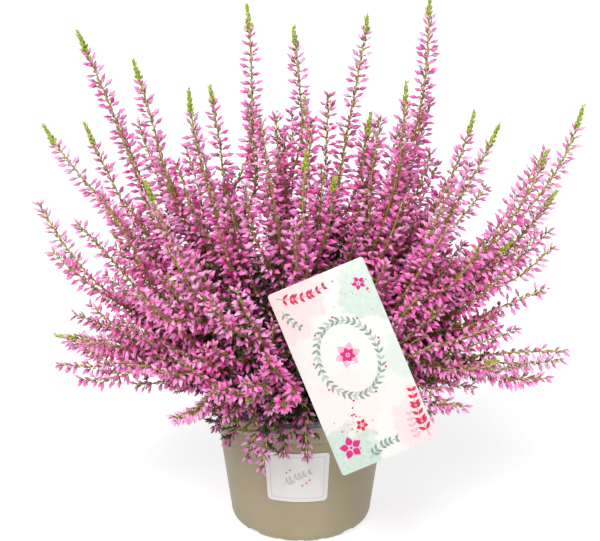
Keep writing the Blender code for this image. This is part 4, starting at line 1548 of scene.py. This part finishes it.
def makeGreenTip(points, steps, total, length, masters):
    # the growing tip: green buds that have not opened, in rows round the stem, smaller towards its point
    random = bloomRandom
    wanted = np.arange(total - length, total, 0.75 * mm)
    number = len(wanted)
    place, way = alongLine(points, steps, wanted)
    turns = np.arange(number) * spiralTurn + random.uniform(0, 6)
    left = (total - wanted) / length
    outward = aroundAxis(way, turns)
    lean = np.radians(8 + 34 * left)[:, None]
    direction = way * np.cos(lean) + outward * np.sin(lean)
    size = (1.5 + 1.7 * left) * mm * random.uniform(0.85, 1.15, number)
    start = place + outward * (0.3 + 0.5 * left)[:, None] * mm
    sizes = np.stack([size * 0.9, size * 0.9, size], axis=1)
    tint = random.uniform(0.2, 1.0, number)
    parts = [scatter(masters["knob"], start, direction, turns, sizes, (tint, outerShare(place)), tipSlot)]
    return parts + makeNeedles(points, steps, total - length, total, "tip", masters)


def startGrowth(name, hexText, roughness, ior):
    # a material of the plant; its colour layer holds a copy's tint, the way along it and the light it gets
    material, tree, shader = newMaterial(name, hexText, roughness, ior)
    shade = addNode(tree, "Attribute", attribute_name="bloom", attribute_type="GEOMETRY")
    split = addNode(tree, "SeparateColor", {"Color": shade.outputs["Color"]})
    return material, tree, shader, [split.outputs[name] for name in ("Red", "Green", "Blue")]


def addPaintedInnerShade(tree, shader, light, colour, darkest):
    # painted shade: what grows deep inside the bush is darkened by how little light it gets
    depth = addSpan(tree, light, {"From Min": 0.05, "From Max": 0.5, "To Min": darkest, "To Max": 1.0})
    grey = addNode(tree, "CombineColor", {name: depth for name in ("Red", "Green", "Blue")})
    darker = addNode(tree, "Mix", {6: colour, 7: grey.outputs["Color"]}, {"Factor": 1.0},
                     data_type="RGBA", blend_type="MULTIPLY")
    tree.links.new(darker.outputs[2], shader.inputs["Base Color"])


def makePetal():
    # heather sepals: thin and papery, a clear lilac pink that is deeper at the base; painted light makes the
    # buds in the light paler, and painted shade darkens those inside the bush
    material, tree, shader, (tint, along, light) = startGrowth("paperyHeatherSepals", "#E070C6", 0.42, 1.4)
    # painted light: the more light a bud gets, the paler the tone it takes from the ramp
    lit = addMath(tree, "MULTIPLY", {0: light}, {1: 0.45})
    tone = addRamp(tree, addMath(tree, "MULTIPLY_ADD", {0: tint, 2: lit}, {1: 0.62}), petalTones)
    tip = addSpan(tree, along, {"From Min": 0.35, "From Max": 1.0, "To Max": 0.55})
    base = addSpan(tree, along, {"From Min": 0.35, "From Max": 0.0, "To Max": 0.7})
    colour = addMix(tree, base, addMix(tree, tip, tone, "#F6BEE0"), "#A81C66")
    # painted shade: darker deep inside the bush
    addPaintedInnerShade(tree, shader, light, colour, 0.42)
    return material


def makeBark():
    # young heather wood: golden brown and dull, redder and darker lower down, with painted shade darkening it
    # deep inside the bush
    material, tree, shader, (_, along, light) = startGrowth("youngHeatherWood", "#A3803C", 0.65, 1.45)
    tone = addRamp(tree, along, [(0.0, "#50341F"), (0.4, "#8E6330"), (0.7, "#B99350"), (1.0, "#D6BF82")])
    # bark scales about 2 mm long
    spots = addSpan(tree, addNoise(tree, 500.0, 2.0), {"From Min": 0.5, "From Max": 0.75, "To Max": 0.6})
    # painted shade: the wood is darker deep inside the bush
    addPaintedInnerShade(tree, shader, light, addMix(tree, spots, tone, "#7A5A24"), 0.22)
    return material


def makeLeaf(name, stops, roughness):
    # tiny waxy scale leaves with a soft gleam, and painted shade that darkens them deep inside the bush
    material, tree, shader, (tint, _, light) = startGrowth(name, stops[1][1], roughness, 1.45)
    # painted shade: the leaves are darker deep inside the bush
    addPaintedInnerShade(tree, shader, light, addRamp(tree, tint, stops), 0.2)
    return material


petalTones = [(0.08, "#D01A88"), (0.34, "#F03CAE"), (0.62, "#F382CB"), (0.92, "#F5C8E3")]
leafTones = [(0.0, "#182A0D"), (0.4, "#34521A"), (0.7, "#76802E"), (1.0, "#B19A55")]
tipTones = [(0.0, "#6C8A14"), (0.5, "#93AB25"), (1.0, "#BECB52")]
# sprays whose main stem ends in a green tip, and side stems (spray, order) that do
greenTips = {0, 1, 2, 3, 4, 5, 7, 9, 10, 11, 12, 13, 14, 15, 18, 19}
greenSides = {(1, 1), (3, 1), (15, 1), (18, 1), (28, 1)}


def dressLine(index, order, line, leafy, masters):
    # a stem of the plant with everything that grows on it
    random = bloomRandom
    points, steps, isMain = line[1:]
    total = steps[-1]
    marked = isMain and index in greenTips or (index, order) in greenSides
    hasTip = not leafy and (marked or random.uniform() < bloom["tipChance"])
    tipLength = bloom["tipLength"] * random.uniform(0.7, 1.15) if hasTip else 0.0
    # the lowest sprays are the oldest, and their flowers are paler
    age = random.normal(0.0, 0.12) + 0.35 * max(0.0, 1 - (points[-1, 2] - 60 * mm) / (110 * mm))
    bareSide = steps[0] + bloom["bareSide"] * (total - steps[0])
    first = max(bloom["bareFoot"], total * bloom["bareShare"]) if isMain else bareSide
    path = alongLine(points, steps, np.arange(steps[0], total, bloom["stemStep"]))[0]
    if isMain:
        path = np.concatenate([[[*path[0, :2], soil["top"] - bloom["rootDepth"]]], path])
    part = np.linspace(steps[0] / total, 1, len(path))
    radii = bloom["stemRadius"] + (bloom["stemTipRadius"] - bloom["stemRadius"]) * part
    parts = [tube(path, radii * (1 if isMain else bloom["sideStem"]), 5, 0.5, woodSlot)]
    if leafy:
        parts += makeNeedles(points, steps, 12 * mm, total, "shoot", masters)
        return parts + makeSprigs(points, steps, 10 * mm, total - 8 * mm, "shoot", masters)
    if isMain:
        parts += makeSprigs(points, steps, 3 * mm, 22 * mm, "foot", masters)
    parts += makeSprigs(points, steps, max(22 * mm, steps[0]), first + 30 * mm, "stem", masters)
    parts += makeNeedles(points, steps, max(16 * mm, steps[0]), total - tipLength, "stem", masters)
    parts += makeBuds(points, steps, first, total - tipLength * 0.9, age, masters)
    if hasTip:
        parts += makeGreenTip(points, steps, total, tipLength, masters)
    return parts


def makePlant():
    masters = {"bud": makeBudMaster(), "needle": makeNeedleMaster(), "knob": makeKnobMaster()}
    materials = [makePetal(), makeBark()]
    materials += [makeLeaf("waxyHeatherLeaves", leafTones, 0.5), makeLeaf("freshGrowingTips", tipTones, 0.45)]
    groups = planSprays()
    lines, mains, card = growLines(groups)
    addFillLines(groups, lines, mains, card)
    print("stems:", len(lines))
    leafyFrom = len(groups) - plant["leafyShoots"]
    faces = 0
    for index in range(len(groups)):
        leafy = index >= leafyFrom
        parts = []
        for order, line in enumerate([line for line in lines if line[0] == index]):
            parts += dressLine(index, order, line, leafy, masters)
        number = index - leafyFrom + 1 if leafy else index + 1
        name, node = ("leafyShoot", "leafy_shoot") if leafy else ("flowerSpray", "flower_spray")
        piece = buildMesh(f"{name}{number:02d}", parts, materials)
        faces += len(piece.data.polygons)
        standFor(piece, f"{node}_{number:02d}")
    print("plant triangles:", faces)


makePlant()
